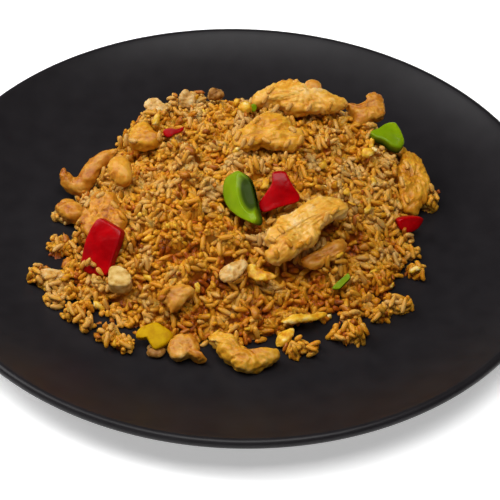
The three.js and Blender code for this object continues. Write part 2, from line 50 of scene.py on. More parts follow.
# %% [markdown]
# ## The eye
# The photograph looks down on the plate from about 42 degrees, with a slightly tilted camera.
# The numbers come from fitting the plate's round outline. Blender could aim a camera with a
# constraint, but the three directions of the eye are needed again later, to lay pieces where
# the photograph shows them, so they are written out.

# %% Camera
EYE_DISTANCE = 700.0
EYE_ELEVATION = math.radians(41.71)
EYE_ROLL = math.radians(1.97)
EYE_AIM = np.array([4.81, -6.78, 0.0])
PHOTO_SIDE = 500
FOCAL_PIXELS = 1560.3

BACK = np.array([0.0, -math.cos(EYE_ELEVATION), math.sin(EYE_ELEVATION)])
LEVEL = np.array([1.0, 0.0, 0.0])
STEEP = np.cross(BACK, LEVEL)
RIGHT = math.cos(EYE_ROLL) * LEVEL + math.sin(EYE_ROLL) * STEEP
UP = -math.sin(EYE_ROLL) * LEVEL + math.cos(EYE_ROLL) * STEEP
EYE = EYE_AIM + BACK * EYE_DISTANCE


def make_camera():
    """A camera at the eye, with a lens of the same angle as the photograph's."""
    data = bpy.data.cameras.new("eye")
    data.sensor_width = 36.0
    data.lens = FOCAL_PIXELS / PHOTO_SIDE * data.sensor_width
    camera = bpy.data.objects.new("eye", data)
    bpy.context.scene.collection.objects.link(camera)
    for row in range(3):
        camera.matrix_world[row] = (RIGHT[row], UP[row], BACK[row], EYE[row] * MM)
    bpy.context.scene.camera = camera
    return camera


def seen_on(px, py, through, out):
    """The point of a plane, in mm, that a pixel of the photograph shows."""
    half = PHOTO_SIDE / 2
    ray = -BACK + (px - half) / FOCAL_PIXELS * RIGHT - (py - half) / FOCAL_PIXELS * UP
    return EYE + ray * np.dot(np.subtract(through, EYE), out) / ray.dot(out)


def seen_at(px, py, level):
    """The same for a level plane at a height over the table."""
    return seen_on(px, py, (0, 0, level), (0, 0, 1))


camera = make_camera()
print("lens in mm:", round(camera.data.lens, 2))

# %% [markdown]
# ## Helpers for materials
# Blender's materials are trees of nodes. One function adds any node, sets it and links it, and
# another turns a colour as a screen shows it into the linear light that a shader works with.

# %% Colour and node helpers


def linear(hex_colour):
    """An sRGB hex colour as linear red, green, blue and alpha."""
    channels = [int(hex_colour[i:i + 2], 16) / 255 for i in (1, 3, 5)]
    low = [c / 12.92 for c in channels]
    high = [((c + 0.055) / 1.055) ** 2.4 for c in channels]
    return tuple(h if c > 0.04045 else d for c, d, h in zip(channels, low, high)) + (1.0,)


def add_node(tree, kind, inputs=None, ramp=None, **settings):
    """Adds one node. inputs holds its values, or the outputs that feed it."""
    new = tree.nodes.new("ShaderNode" + kind)
    for name, value in settings.items():
        setattr(new, name, value)
    for name, value in (inputs or {}).items():
        if isinstance(value, bpy.types.NodeSocket):
            tree.links.new(value, new.inputs[name])
        else:
            new.inputs[name].default_value = value
    if ramp:
        stops = new.color_ramp.elements
        while len(stops) < len(ramp):
            stops.new(0.5)
        for stop, (place, colour) in zip(stops, ramp):
            stop.position = place
            stop.color = linear(colour)
    return new


def new_finish(name):
    """An empty material: its tree, its shader and the piece's own coordinates."""
    finish = bpy.data.materials.new(name)
    finish.use_nodes = True
    tree = finish.node_tree
    shader = tree.nodes["Principled BSDF"]
    place = add_node(tree, "TexCoord").outputs["Object"]
    return finish, tree, shader, place


print("linear mid grey:", round(linear("#808080")[0], 3))

# %% [markdown]
# Every finish of the food has the same few steps: a noise as large as the real mottling, a
# colour from a ramp, fine relief, and the shader's fixed values. Each step is a small function,
# and sizes go in as real millimetres.

# %% Steps of a finish


def per_mm(size):
    """The scale that gives a noise texture features of about that many millimetres."""
    return 1.0 / (size * MM)


def mottle(tree, place, size, detail):
    """A noise with features of about that many millimetres, from 0 to 1."""
    noise_node = add_node(tree, "TexNoise", {
        "Vector": place, "Scale": per_mm(size), "Detail": detail})
    return noise_node.outputs["Fac"]


def times_plus(tree, value, factor, added):
    """The value times a factor, plus another value."""
    sum_node = add_node(tree, "Math", {0: value, 1: factor, 2: added}, operation="MULTIPLY_ADD")
    return sum_node.outputs[0]


def ramped(tree, value, low, high, ramp):
    """The colour of a ramp that runs from one level of the value to another."""
    level = add_node(tree, "MapRange", {"Value": value, "From Min": low, "From Max": high})
    tint = add_node(tree, "ValToRGB", {"Fac": level.outputs["Result"]}, ramp=ramp)
    return tint.outputs["Color"]


def bumped(tree, height, strength, depth, under=None):
    """A shader normal with fine relief of that depth in mm, over another normal or none."""
    inputs = {"Height": height, "Strength": strength, "Distance": depth * MM}
    if under is not None:
        inputs["Normal"] = under
    return add_node(tree, "Bump", inputs).outputs["Normal"]


def end_finish(tree, shader, varied, fixed):
    """Links the outputs that vary over the piece, and sets the values that don't."""
    for name, output in varied.items():
        tree.links.new(output, shader.inputs[name])
    for name, value in fixed.items():
        shader.inputs[name].default_value = value


print("noise scale for one millimetre:", per_mm(1))

# %% [markdown]
# ## Helpers for meshes
# Food has hardly a straight line in it, so every piece is made as a cloud of points that code
# can push about, and the points and faces then go into a mesh in one step. A closed mesh
# with its faces turned out is also what the export expects.

# %% Mesh helpers


def outward(points, faces):
    """Turns the faces of a closed shape out."""
    a, b, c = points[faces[:, 0]], points[faces[:, 1]], points[faces[:, 2]]
    volume = np.einsum("ij,ij->i", a, np.cross(b, c)).sum()
    return faces if volume > 0 else faces[:, ::-1]


def make_piece(name, points, faces, finish, nodes, values=None):
    """A mesh object from points in mm that rides on the body and stands for CAD nodes."""
    faces = np.asarray(faces)
    mesh = bpy.data.meshes.new(name)
    mesh.vertices.add(len(points))
    mesh.vertices.foreach_set("co", (np.asarray(points) * MM).astype(np.float32).ravel())
    mesh.loops.add(faces.size)
    mesh.loops.foreach_set("vertex_index", faces.astype(np.int32).ravel())
    mesh.polygons.add(len(faces))
    starts = np.arange(0, faces.size, faces.shape[1], dtype=np.int32)
    mesh.polygons.foreach_set("loop_start", starts)
    mesh.polygons.foreach_set("use_smooth", np.ones(len(faces), dtype=bool))
    mesh.update(calc_edges=True)
    for label, numbers in (values or {}).items():
        layer = mesh.attributes.new(label, "FLOAT", "POINT")
        layer.data.foreach_set("value", np.asarray(numbers, dtype=np.float32))
    mesh.materials.append(finish)
    piece = bpy.data.objects.new(name, mesh)
    bpy.context.scene.collection.objects.link(piece)
    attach(piece, "root")
    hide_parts(*nodes)
    return piece


def ring_faces(rings, sides):
    """Triangles over rings of points, with a point before the first and one after the last."""
    j = np.arange(sides)
    after = (j + 1) % sides
    last = 1 + rings * sides
    parts = [np.stack([np.zeros_like(j), 1 + after, 1 + j], 1)]
    for ring in range(rings - 1):
        here = 1 + ring * sides
        there = here + sides
        parts.append(np.stack([here + j, here + after, there + after], 1))
        parts.append(np.stack([here + j, there + after, there + j], 1))
    end = 1 + (rings - 1) * sides
    parts.append(np.stack([np.full_like(j, last), end + j, end + after], 1))
    return np.concatenate(parts)


def rough(points, size, seed):
    """Smooth noise from -1 to 1 at each point, with features of about that size in mm."""
    shift = Vector((seed * 17.3, seed * 5.1, seed * 9.7))
    scaled = np.asarray(points) / size
    return np.array([noise.noise(Vector(p) + shift) for p in scaled])


# %% [markdown]
# ## The plate
# The plate is pressed stoneware with a satin black glaze: a flat well that sweeps up to a
# rounded lip, on a low foot ring. It is turned on a wheel, so a profile spun about the middle
# gives its exact shape, and fine steps keep the lip's thin line of light unbroken.

# %% Plate profile
WELL_TOP = 6.0
WELL_RADIUS = 96.0
LIP_START = 136.8
LIP_HEIGHT = 20.7
WELL_RISE_POWER = 1.8
WALL = 4.2
FOOT_OUTER = 88.0
FOOT_INNER = 82.0
FOOT_RECESS = 1.8


def well_height(radius):
    """The height of the plate's upper face at a distance from its middle."""
    climb = np.clip((radius - WELL_RADIUS) / (LIP_START - WELL_RADIUS), 0, None)
    return WELL_TOP + (LIP_HEIGHT - WELL_TOP) * climb ** WELL_RISE_POWER


def plate_profile():
    """Radius and height along the section, from the middle of the well round to the foot."""
    radius = np.linspace(WELL_RADIUS, LIP_START, 26)
    height = well_height(radius)
    lean = np.arctan(np.gradient(height, radius))
    upper = np.stack([radius, height], 1)
    lower = np.stack([radius + np.sin(lean) * WALL, height - np.cos(lean) * WALL], 1)
    middle = (upper[-1] + lower[-1]) / 2
    start = math.atan2(upper[-1, 1] - middle[1], upper[-1, 0] - middle[0])
    turn = start - np.linspace(0, math.pi, 13)[1:-1]
    lip = middle + WALL / 2 * np.stack([np.cos(turn), np.sin(turn)], 1)
    flat = np.array([[24.0, WELL_TOP], [60.0, WELL_TOP], [90.0, WELL_TOP]])
    foot = np.array([
        [FOOT_OUTER + 1.2, FOOT_RECESS],
        [FOOT_OUTER + 0.3, 0.5],
        [FOOT_OUTER - 0.4, 0.0],
        [FOOT_INNER + 0.4, 0.0],
        [FOOT_INNER - 0.3, 0.5],
        [FOOT_INNER - 1.2, FOOT_RECESS],
        [40.0, FOOT_RECESS],
    ])
    return np.concatenate([flat, upper, lip, lower[::-1], foot])


print("points in the plate's section:", len(plate_profile()))

# %% [markdown]
# Blender has a Screw modifier that spins a profile. Here the same spin is written out, because
# the mesh then has the very same build as all the others: rings of points between two ends.

# %% Lathe
PLATE_SIDES = 240


def lathe(profile, sides, top, bottom):
    """Spins a profile of radius and height about the upright axis, closed at both ends."""
    turn = np.arange(sides) * 2 * math.pi / sides
    radius = profile[:, 0][:, None]
    x = radius * np.cos(turn)
    y = radius * np.sin(turn)
    z = np.broadcast_to(profile[:, 1][:, None], x.shape)
    body = np.stack([x, y, z], 2).reshape(-1, 3)
    points = np.concatenate([[[0.0, 0.0, top]], body, [[0.0, 0.0, bottom]]])
    return points, outward(points, ring_faces(len(profile), sides))


plate_points, plate_faces = lathe(plate_profile(), PLATE_SIDES, WELL_TOP, FOOT_RECESS)
print("plate triangles:", len(plate_faces))

# %% [markdown]
# Satin black glaze is a thin glass over dark clay, matted by fine crystals in it. The eye gets
# almost no colour from it, only a wide soft reflection of the light above, so the finish is
# near black with a middling roughness and the faintest mottle.

# %% Plate finish


def satin_black_glaze():
    finish, tree, shader, place = new_finish("satin_black_glaze")
    cloud = mottle(tree, place, 9, 4.0)
    tint = add_node(tree, "ValToRGB", {"Fac": cloud}, ramp=[(0.3, "#1c1a1c"), (0.7, "#211f21")])
    satin = add_node(tree, "MapRange", {"Value": cloud, "To Min": 0.31, "To Max": 0.35})
    grit = mottle(tree, place, 0.7, 2.0)
    end_finish(tree, shader, {
        "Base Color": tint.outputs["Color"],
        "Roughness": satin.outputs["Result"],
        "Normal": bumped(tree, grit, 0.10, 0.05),
    }, {"IOR": 1.5, "Specular IOR Level": 0.15})
    return finish


plate = make_piece("plate_glazed", plate_points, plate_faces, satin_black_glaze(),
                   ["plate"])
print("plate across in metres:", round(plate.dimensions.x, 4))

# %% [markdown]
# ## The form of the heap
# The rice is a broad low mound with a steep uneven foot. Its height over the table is a rounded
# dome plus a few swells and hollows, the same ones as in the CAD source, so the toppings and
# the grains can both ask this function how high the rice stands at a place.

# %% Heap height
FOOD_FLOOR = 6.3
HEAP_CREST = 27.0
HEAP_REACH = np.array([82, 92, 93, 90, 88, 83, 79, 90, 86, 79, 74, 81], dtype=float)
HEAP_SWELLS = [
    (22, 62, 22, 17), (-22, 62, 22, 14), (56, 56, 22, 17), (68, 50, 15, 9), (74, 28, 17, 14),
    (-45, 47, 17, 11), (-62, 4, 16, 4), (5, 22, 26, 7), (66, -24, 16, 3), (24, -6, 18, 6),
    (-30, -8, 22, 3), (-8, -44, 24, 3),
]
HEAP_HOLLOWS = [
    (34, -40, 20, -5), (26, -42, 7, -3), (50, -29, 6, -4), (-33, 43, 5, -4),
    (-59, -51, 6, -3), (-13, -59, 7, -3), (-10, 17, 5, -3), (-56, -3, 6, -3),
]


def heap_reach(x, y):
    """How far the foot of the heap reaches from the middle, in the direction of a point."""
    count = len(HEAP_REACH)
    turn = np.mod(np.arctan2(y, x) / (2 * math.pi) * count, count)
    i = np.floor(turn).astype(int)
    t = turn - i
    p0, p1, p2, p3 = [HEAP_REACH[(i + k) % count] for k in (-1, 0, 1, 2)]
    cubic = (3 * p1 - p0 - 3 * p2 + p3) * t ** 3
    return 0.5 * (2 * p1 + (p2 - p0) * t + (2 * p0 - 5 * p1 + 4 * p2 - p3) * t ** 2 + cubic)


def heap_height(x, y):
    """The height of the bare heap over the table at a place."""
    x = np.asarray(x, dtype=float)
    y = np.asarray(y, dtype=float)
    part = np.minimum(np.hypot(x, y) / heap_reach(x, y), 1.0)
    height = HEAP_CREST * (1 - part ** 3)
    for sx, sy, spread, swell in HEAP_SWELLS + HEAP_HOLLOWS:
        far = ((x - sx) ** 2 + (y - sy) ** 2) / spread ** 2
        height = height + swell * np.exp(-far) * (1 - part ** 6)
    return FOOD_FLOOR + np.maximum(height, 0)


print("heap height at the middle:", round(float(heap_height(0, 0)), 1))

# %% [markdown]
# ## Soft morsels
# The hooked strip of chicken and the small shreds of egg and onion share one build: a curved
# line through the piece, a width and a thickness along it, and round ends. The line is a spline
# through a few knots, and the spacing of the knots is taken into account, so it never loops.

# %% Smooth lines


def spline(knots, t):
    """Points and directions on a smooth curve, with t from 0 to 1 between the end knots."""
    place = np.clip(t, 0, 1) * (len(knots) - 3)
    i = np.minimum(place.astype(int), len(knots) - 4)
    u = (place - i)[:, None]
    p0, p1, p2, p3 = [knots[i + k] for k in range(4)]
    d0, d1, d2 = [np.linalg.norm(b - a, axis=1)[:, None] ** 0.5
                  for a, b in ((p0, p1), (p1, p2), (p2, p3))]
    m1 = ((p1 - p0) / d0 - (p2 - p0) / (d0 + d1) + (p2 - p1) / d1) * d1
    m2 = ((p2 - p1) / d1 - (p3 - p1) / (d1 + d2) + (p3 - p2) / d2) * d1
    c2 = -3 * p1 + 3 * p2 - 2 * m1 - m2
    c3 = 2 * p1 - 2 * p2 + m1 + m2
    points = p1 + m1 * u + c2 * u ** 2 + c3 * u ** 3
    ahead = m1 + 2 * c2 * u + 3 * c3 * u ** 2
    return points, ahead / np.linalg.norm(ahead, axis=1)[:, None]


def smooth_line(knots, t):
    """The same from the first knot to the last."""
    knots = np.asarray(knots, dtype=float)
    return spline(np.concatenate([[2 * knots[0] - knots[1]], knots,
                                  [2 * knots[-1] - knots[-2]]]), t)


def along(numbers, t):
    """A smooth value from a short list, with t from 0 to 1."""
    numbers = np.atleast_1d(np.asarray(numbers, dtype=float))
    if len(numbers) == 1:
        return np.full_like(t, numbers[0])
    place = t * (len(numbers) - 1)
    i = np.minimum(place.astype(int), len(numbers) - 2)
    u = place - i
    u = u * u * (3 - 2 * u)
    return numbers[i] * (1 - u) + numbers[i + 1] * u


print("halfway from 1 to 2:", float(along([1, 2], np.array([0.5]))[0]))

# %% [markdown]
# A sculpted sphere would do for a morsel too, but a line keeps each piece on the same path as
# its CAD solid. Small pieces that lie on the rice are given by their lift over the bare heap.
# The points later move by noise in real millimetres.

# %% Morsel builder


def laid(places):
    """Places of x, y and lift, with the lift over the bare heap turned into a height."""
    return [(x, y, float(heap_height(x, y)) + lift) for x, y, lift in places]


def morsel(line, wide, thick, lean=0.0, step=0.8, square=2.0):
    """Points and faces of a closed piece along a line. Square above 2 makes it blockier."""
    span = sum(math.dist(a, b) for a, b in zip(line, line[1:]))
    rings = max(10, int(span / step))
    sides = max(14, int(math.pi * (max(wide) + max(thick)) / step))
    t = (1 - np.cos(math.pi * np.arange(1, rings + 1) / (rings + 1))) / 2
    middle, ahead = smooth_line(line, t)
    across = np.cross([0.0, 0.0, 1.0], ahead)
    across /= np.linalg.norm(across, axis=1)[:, None]
    rise = np.cross(ahead, across)
    turn = np.radians(along(lean, t))[:, None]
    taper = (1 - np.abs(2 * t - 1) ** 3) ** 0.5
    angle = np.arange(sides) * 2 * math.pi / sides
    cos, sin = np.cos(angle), np.sin(angle)
    blocky = (np.abs(cos) ** square + np.abs(sin) ** square) ** (-1 / square)
    u = cos * blocky * (along(wide, t) * taper)[:, None]
    v = sin * blocky * (along(thick, t) * taper)[:, None]
    a = u * np.cos(turn) - v * np.sin(turn)
    b = u * np.sin(turn) + v * np.cos(turn)
    body = middle[:, None] + across[:, None] * a[..., None] + rise[:, None] * b[..., None]
    ends = smooth_line(line, np.array([0.0, 1.0]))[0]
    points = np.concatenate([ends[:1], body.reshape(-1, 3), ends[1:]])
    return points, outward(points, ring_faces(rings, sides))


# %% [markdown]
# Flat pieces have an outline that no soft tube can give. Their outline is read off the
# photograph as a few pixels, and each pixel's line of sight is cut with the plane that the piece
# lies in. The flat shape then gets its real thickness and a rounded or a sharp edge, so it
# looks right from every side and not only from the camera. The green piece shows the hollow
# where the seeds sat, an oval dent in its face.

# %% Lines and dents
EDGE_STEPS = 400


def unit(vector):
    """The same direction with length 1."""
    vector = np.array(vector, dtype=float)
    return vector / np.linalg.norm(vector)


def evenly(points, step):
    """The same line of points, a step apart."""
    walk = np.append(0, np.cumsum(np.linalg.norm(np.diff(points, axis=0), axis=1)))
    places = np.linspace(0, walk[-1], max(8, int(walk[-1] / step)) + 1)
    return np.stack([np.interp(places, walk, column) for column in points.T], 1)


def dented(points, depth, hollow, centre, out):
    """Sinks an oval hollow, given by the pixels of its ends, its width and how far it sinks."""
    near_end, far_end, width, sink = hollow
    near_end = seen_on(*near_end, centre, out)
    far_end = seen_on(*far_end, centre, out)
    length = np.linalg.norm(far_end - near_end)
    lengthwise = unit(far_end - near_end)
    off = points - (near_end + far_end) / 2
    far = (off @ lengthwise / (length / 2)) ** 2
    far += (off @ np.cross(out, lengthwise) / (width / 2)) ** 2
    # The dent takes the flesh colour, which in the green piece is painted shade.
    dent = np.clip(1.3 - 1.2 * far, 0, 1) * (depth < 0.5)
    return points - (dent * sink)[:, None] * out, np.maximum(depth, dent)


# %% [markdown]
# The slab itself goes round its outline in rings, from the middle of the upper face over the
# edge to the middle of the underside. A superellipse gives the edge any form between round and
# square with one number, where a bevel on an extruded curve would need a step for each piece.

# %% Slab builder


def slab(outline, through, face, thick, edge=3.0, lead=0.0, bend=0.0, curl=0.0, flare=0.0,
         run=(0, -1, 0), step=0.7, hollow=None):
    """A flat piece seen as the outline. Also gives each point's depth: 0 top, 1 underside.

    With lead 1 the outline is that of the upper face, with lead 0 that of the middle. Bend and
    curl round the piece along its run and across it, and flare turns its front end up and its
    back end down.
    """
    out = unit(face)
    centre = np.array(through) + out * lead * thick / 2
    corners = np.array([seen_on(px, py, centre, out) for px, py in outline])
    closed = np.concatenate([corners[-1:], corners, corners[:2]])
    rim = evenly(spline(closed, np.linspace(0, 1, 16 * len(corners)))[0], step)[:-1]
    middle = rim.mean(0)
    spoke = rim - middle
    reach = np.linalg.norm(spoke, axis=1).mean()
    angle = np.linspace(math.pi / 2, -math.pi / 2, EDGE_STEPS)
    part = np.abs(np.cos(angle)) ** (2 / edge) * reach
    level = np.sign(np.sin(angle)) * np.abs(np.sin(angle)) ** (2 / edge) * thick / 2
    part, level = evenly(np.stack([part, level], 1), step)[1:-1].T
    body = middle + (part / reach)[:, None, None] * spoke
    body = body + (level - lead * thick / 2)[:, None, None] * out
    points = np.concatenate([[middle + out * (1 - lead) * thick / 2], body.reshape(-1, 3),
                             [middle - out * (1 + lead) * thick / 2]])
    ahead = unit(np.array(run) - np.dot(run, out) * out)
    across = np.cross(out, ahead)
    x = (points - middle) @ ahead
    y = (points - middle) @ across
    points = points + (flare * x ** 3 - bend * x ** 2 - curl * y ** 2)[:, None] * out
    depth = 0.5 - np.repeat(level, len(rim)) / thick
    depth = np.concatenate([[0.0], depth, [1.0]])
    if hollow:
        points, depth = dented(points, depth, hollow, centre, out)
    return points, outward(points, ring_faces(len(level), len(rim))), depth


def skin_normals(points, faces):
    """The way out of the skin at each point."""
    a, b, c = points[faces[:, 0]], points[faces[:, 1]], points[faces[:, 2]]
    flat = np.cross(b - a, c - a)
    out = np.zeros_like(points)
    for k in range(3):
        np.add.at(out, faces[:, k], flat)
    return out / np.maximum(np.linalg.norm(out, axis=1), 1e-9)[:, None]


# %% [markdown]
# ## Chicken
# The chicken is breast meat, cut in slices and fried in egg and soy, and some lie half buried.
# Every slice is a slab with a rounded edge. Its outline is read off the photograph, and its
# place is that of the CAD solid. The grain is the direction of the meat's fibres, in degrees.

# %% Chicken pieces
CHICKEN_SLABS = {
    "chicken_centre": dict(
        outline=[(279, 218), (290, 214), (303, 206), (316, 201), (329, 200), (338, 203),
                 (346, 209), (334, 217), (328, 222), (322, 229), (320, 238), (313, 245),
                 (300, 251), (289, 259), (278, 264), (269, 260), (265, 254), (270, 249),
                 (264, 243), (266, 236), (271, 231), (276, 225)],
        through=(26.5, -28.5, 33), face=(.05, -.3, .95), thick=9, grain=40),
    "chicken_back_top": dict(
        outline=[(254, 99), (265, 91), (272, 84), (284, 80), (293, 81), (301, 87), (310, 92),
                 (328, 95), (339, 98), (347, 103), (344, 108), (334, 111), (322, 112), (303, 113),
                 (288, 111), (278, 106), (265, 104), (256, 105)],
        through=(24, 54, 41), face=(0, -.3, .95), thick=9, grain=10),
    "chicken_back_hook": dict(
        outline=[(345, 104), (357, 105), (368, 101), (368, 95), (374, 93), (379, 97), (384, 104),
                 (385, 111), (380, 118), (373, 121), (368, 124), (362, 128), (355, 127),
                 (352, 119), (350, 111)],
        through=(54, 54, 34.5), face=(0, -.45, .9), thick=8, grain=20),
    "chicken_back_mid": dict(
        outline=[(233, 143), (239, 132), (252, 122), (265, 116), (278, 117), (290, 127),
                 (303, 133), (305, 142), (292, 149), (278, 148), (262, 145), (250, 151),
                 (240, 150)],
        through=(13, 26, 42), face=(0, -.3, .95), thick=7, grain=15),
    "chicken_right": dict(
        outline=[(405, 152), (417, 158), (422, 171), (426, 184), (424, 196), (419, 208),
                 (414, 214), (406, 211), (400, 201), (397, 188), (397, 172), (399, 162)],
        through=(79.5, 30, 17.5), face=(.35, -.35, .87), thick=9, grain=-70),
    "chicken_left_pale": dict(
        outline=[(98, 194), (112, 196), (118, 208), (124, 220), (121, 232), (106, 240),
                 (90, 236), (81, 223), (88, 209)],
        through=laid([(-60, -14, 1.8)])[0], face=(-.3, -.3, .9), thick=7, grain=60),
    "chicken_back_left": dict(
        outline=[(131, 133), (141, 125), (148, 127), (154, 134), (161, 139), (155, 146),
                 (144, 147), (132, 146)],
        through=laid([(-44, 32, 1.6)])[0], face=(-.2, -.3, .93), thick=8, grain=10),
    "chicken_left_lump": dict(
        outline=[(111, 164), (119, 159), (128, 162), (132, 172), (129, 182), (119, 184),
                 (110, 177)],
        through=laid([(-52, 6, 1.6)])[0], face=(-.2, -.3, .93), thick=8, grain=80),
    "chicken_front_strip": dict(
        outline=[(209, 338), (217, 333), (226, 336), (232, 344), (242, 351), (252, 355),
                 (268, 355), (277, 353), (278, 358), (272, 364), (263, 369), (249, 371),
                 (236, 369), (232, 362), (224, 356), (218, 350), (217, 345), (210, 342)],
        through=(3, -80, 11.5), face=(0, -.25, .97), thick=7.5, grain=-40),
    "chicken_front_lobed": dict(
        outline=[(159, 300), (164, 291), (178, 287), (192, 287), (194, 293), (185, 301),
                 (178, 309), (171, 314), (167, 306)],
        through=laid([(-25, -63, 1.2)])[0], face=(-.1, -.4, .9), thick=4.5, grain=30),
    "chicken_front_ribbed": dict(
        outline=[(168, 349), (173, 341), (184, 337), (194, 338), (199, 346), (200, 353),
                 (206, 360), (197, 361), (190, 357), (180, 361), (170, 356)],
        through=(-21, -80, 10.6), face=(0, -.3, .95), thick=7, grain=-60),
    "chicken_left_clump": dict(
        outline=[(56, 209), (62, 204), (70, 202), (78, 205), (84, 210), (83, 217), (74, 221),
                 (64, 219), (58, 214)],
        through=(-78, 3, 11.5), face=(-.2, -.2, .95), thick=8, grain=0),
    "chicken_flake_right": dict(
        outline=[(303, 262), (310, 256), (322, 250), (334, 243), (343, 240), (346, 248),
                 (338, 258), (326, 264), (312, 268)],
        through=laid([(37, -37, 1)])[0], face=(0, -.3, .95), thick=4.5, grain=30),
    "chicken_back_crust": dict(
        outline=[(303, 90), (306, 83), (313, 82), (320, 85), (321, 91), (314, 94), (306, 94)],
        through=(31, 61.5, 46), face=(0, -.3, .95), thick=6, grain=0),
}
CHICKEN_HOOK = dict(
    line=[(-81, 23, 18.5), (-78, 20, 12.5), (-72, 20, 13), (-67, 25, 19), (-58, 30, 25)],
    wide=[1.8, 3.6, 4.4, 4.2, 3], thick=[1.8, 3.4, 4.2, 4, 3])
HOOK_GRAIN = 40
print("chicken pieces:", len(CHICKEN_SLABS) + 1)

# %% [markdown]
# The muscle fibres run side by side in bundles one or two millimetres wide. The meat splits
# into flakes along them, and its edges are torn. All this is real relief: noise that is drawn
# out along the meat and narrow across it, with shallow clefts where two bundles part. The same
# noise also goes to the finish, as raised fibres are paler and clefts hold sauce.

# %% Meat relief
FIBRE_WIDTH = 1.3
FIBRE_LENGTH = 9.0
FULL_RELIEF_SPAN = 22


def meat(points, faces, grain, seed):
    """The points of a piece of chicken with its relief, and how raised and pale each one is."""
    out = skin_normals(points, faces)
    turn = math.radians(grain)
    drawn = np.stack([
        (points[:, 0] * math.cos(turn) + points[:, 1] * math.sin(turn)) / FIBRE_LENGTH,
        (points[:, 1] * math.cos(turn) - points[:, 0] * math.sin(turn)) / FIBRE_WIDTH,
        points[:, 2] / FIBRE_WIDTH,
    ], 1)
    fibres = 1 - 2 * np.abs(rough(drawn, 1.0, seed))
    bundles = 1 - 2 * np.abs(rough(drawn, 2.7, seed + 20))
    clefts = np.exp(-(rough(drawn, 3.4, seed + 40) / 0.07) ** 2)
    clefts *= np.clip(2 * rough(points, 6.0, seed + 60) + 0.6, 0, 1)
    lumps = rough(points, 7.0, seed + 50)
    bits = rough(points, 1.8, seed + 90)
    steps = 3 * rough(points, 9.0, seed + 70)
    fraction = steps - np.floor(steps)
    flakes = np.floor(steps) + np.clip(fraction * 4 - 1.5, 0, 1)
    lift = 0.3 * fibres + 0.4 * bundles + 1.1 * lumps + 0.6 * bits + 0.5 * flakes - 0.45 * clefts
    small = min(1.0, np.ptp(points, axis=0).max() / FULL_RELIEF_SPAN)
    tone = 0.45 * fibres + 0.45 * bits - 0.5 * clefts + 0.3 * bundles
    return points + out * (lift * small)[:, None], tone


# %% [markdown]
# Cooked breast meat coated in egg and soy is cream to golden, browner where it touched the pan
# and in the folds where sauce gathers, with a thin greasy film over moist flesh. Light goes a
# little way into it, so the finish has some subsurface scattering. The slices differ: some
# show the pale inside, some a yellow coat of egg, and the small ends are browned.

# %% Chicken finish


def fried_chicken(name, ramp):
    """A finish for meat, from the colours of its clefts to those of its raised fibres."""
    finish, tree, shader, place = new_finish(name)
    lift = add_node(tree, "Attribute", attribute_name="lift").outputs["Fac"]
    patch = mottle(tree, place, 8, 3.0)
    fleck = mottle(tree, place, 1.4, 3.0)
    raised = times_plus(tree, lift, 0.22, 0.5)
    shade = times_plus(tree, fleck, 0.5, times_plus(tree, patch, 1.1, raised))
    end_finish(tree, shader, {
        "Base Color": ramped(tree, shade, 0.85, 1.75, ramp),
        "Normal": bumped(tree, fleck, 0.35, 0.25),
    }, {
        "Roughness": 0.45,
        "Specular IOR Level": 0.3,
        "Subsurface Weight": 0.3,
        "Subsurface Radius": (1.0, 0.5, 0.2),
        "Subsurface Scale": 1.2 * MM,
    })
    return finish


GOLDEN_MEAT = [(0.0, "#9a5006"), (0.3, "#c88418"), (0.6, "#d8a23a"), (1.0, "#e4c488")]
COATED_MEAT = [(0.0, "#9a5006"), (0.3, "#c07c12"), (0.65, "#d49a26"), (1.0, "#dcb462")]
BROWN_MEAT = [(0.0, "#843a04"), (0.35, "#ae660e"), (0.7, "#c88a28"), (1.0, "#dcb060")]
golden_meat = fried_chicken("breast_meat_inside", GOLDEN_MEAT)
coated_meat = fried_chicken("egg_coated_meat", COATED_MEAT)
brown_meat = fried_chicken("browned_meat", BROWN_MEAT)
print("chicken finishes:", golden_meat.name, coated_meat.name, brown_meat.name)

# %% [markdown]
# Each piece gets its relief, the finish of its kind and a painted shade that darkens it as a whole.
# Every piece on the rice is also kept in a list, because the grains are dropped round it later.

# %% Lay the chicken
BROWNED = ("hook", "crust", "ribbed", "lobed", "flake_right", "clump")
COATED = ("back_mid", "back_left", "right", "strip")
# Painted shade: how much darker each of these pieces is as a whole.
PAINTED_SHADE_BY_PIECE = {"chicken_left_pale": 1.5, "chicken_right": 0.7, "chicken_left_lump": 0.8,
          "chicken_back_top": 0.2, "chicken_back_left": 0.4, "chicken_back_hook": 0.3}
HALF_BURIED = ("flake_right", "front_lobed", "left_lump", "left_clump", "back_left", "back_brown")
toppings = []


def add_topping(node_name, points, faces):
    """Keeps a piece for the height map, and whether rice may stand before it."""
    toppings.append((points, faces, node_name.endswith(HALF_BURIED)))


def lay_chicken(node_name, points, faces, grain, seed):
    """Makes the piece of that node from a plain form."""
    points, tone = meat(points, faces, grain, seed)
    finish = golden_meat
    if node_name.endswith(COATED):
        finish = coated_meat
    if node_name.endswith(BROWNED):
        finish = brown_meat
    make_piece(node_name + "_meat", points, faces, finish, [node_name],
               # Subtracting the piece's painted shade darkens the whole piece.
               {"lift": tone - PAINTED_SHADE_BY_PIECE.get(node_name, 0.0)})
    add_topping(node_name, points, faces)


for seed, (node_name, sizes) in enumerate(CHICKEN_SLABS.items()):
    grain = sizes.pop("grain")
    points, faces, depth = slab(**sizes)
    lay_chicken(node_name, points, faces, grain, seed + 1)
points, faces = morsel(**CHICKEN_HOOK, square=2.4)
lay_chicken("chicken_left_hook", points, faces, HOOK_GRAIN, 30)
print("chicken triangles:", sum(len(faces) for points, faces, buried in toppings))

# %% [markdown]
# ## Egg and onion
# The egg was scrambled in the wok: thin folded shreds of set omelette with a wavy edge. The
# onion is in softened flakes. The small ones are thin morsels, the broad ones thin slabs, and a
# wave of a few millimetres bends them all.

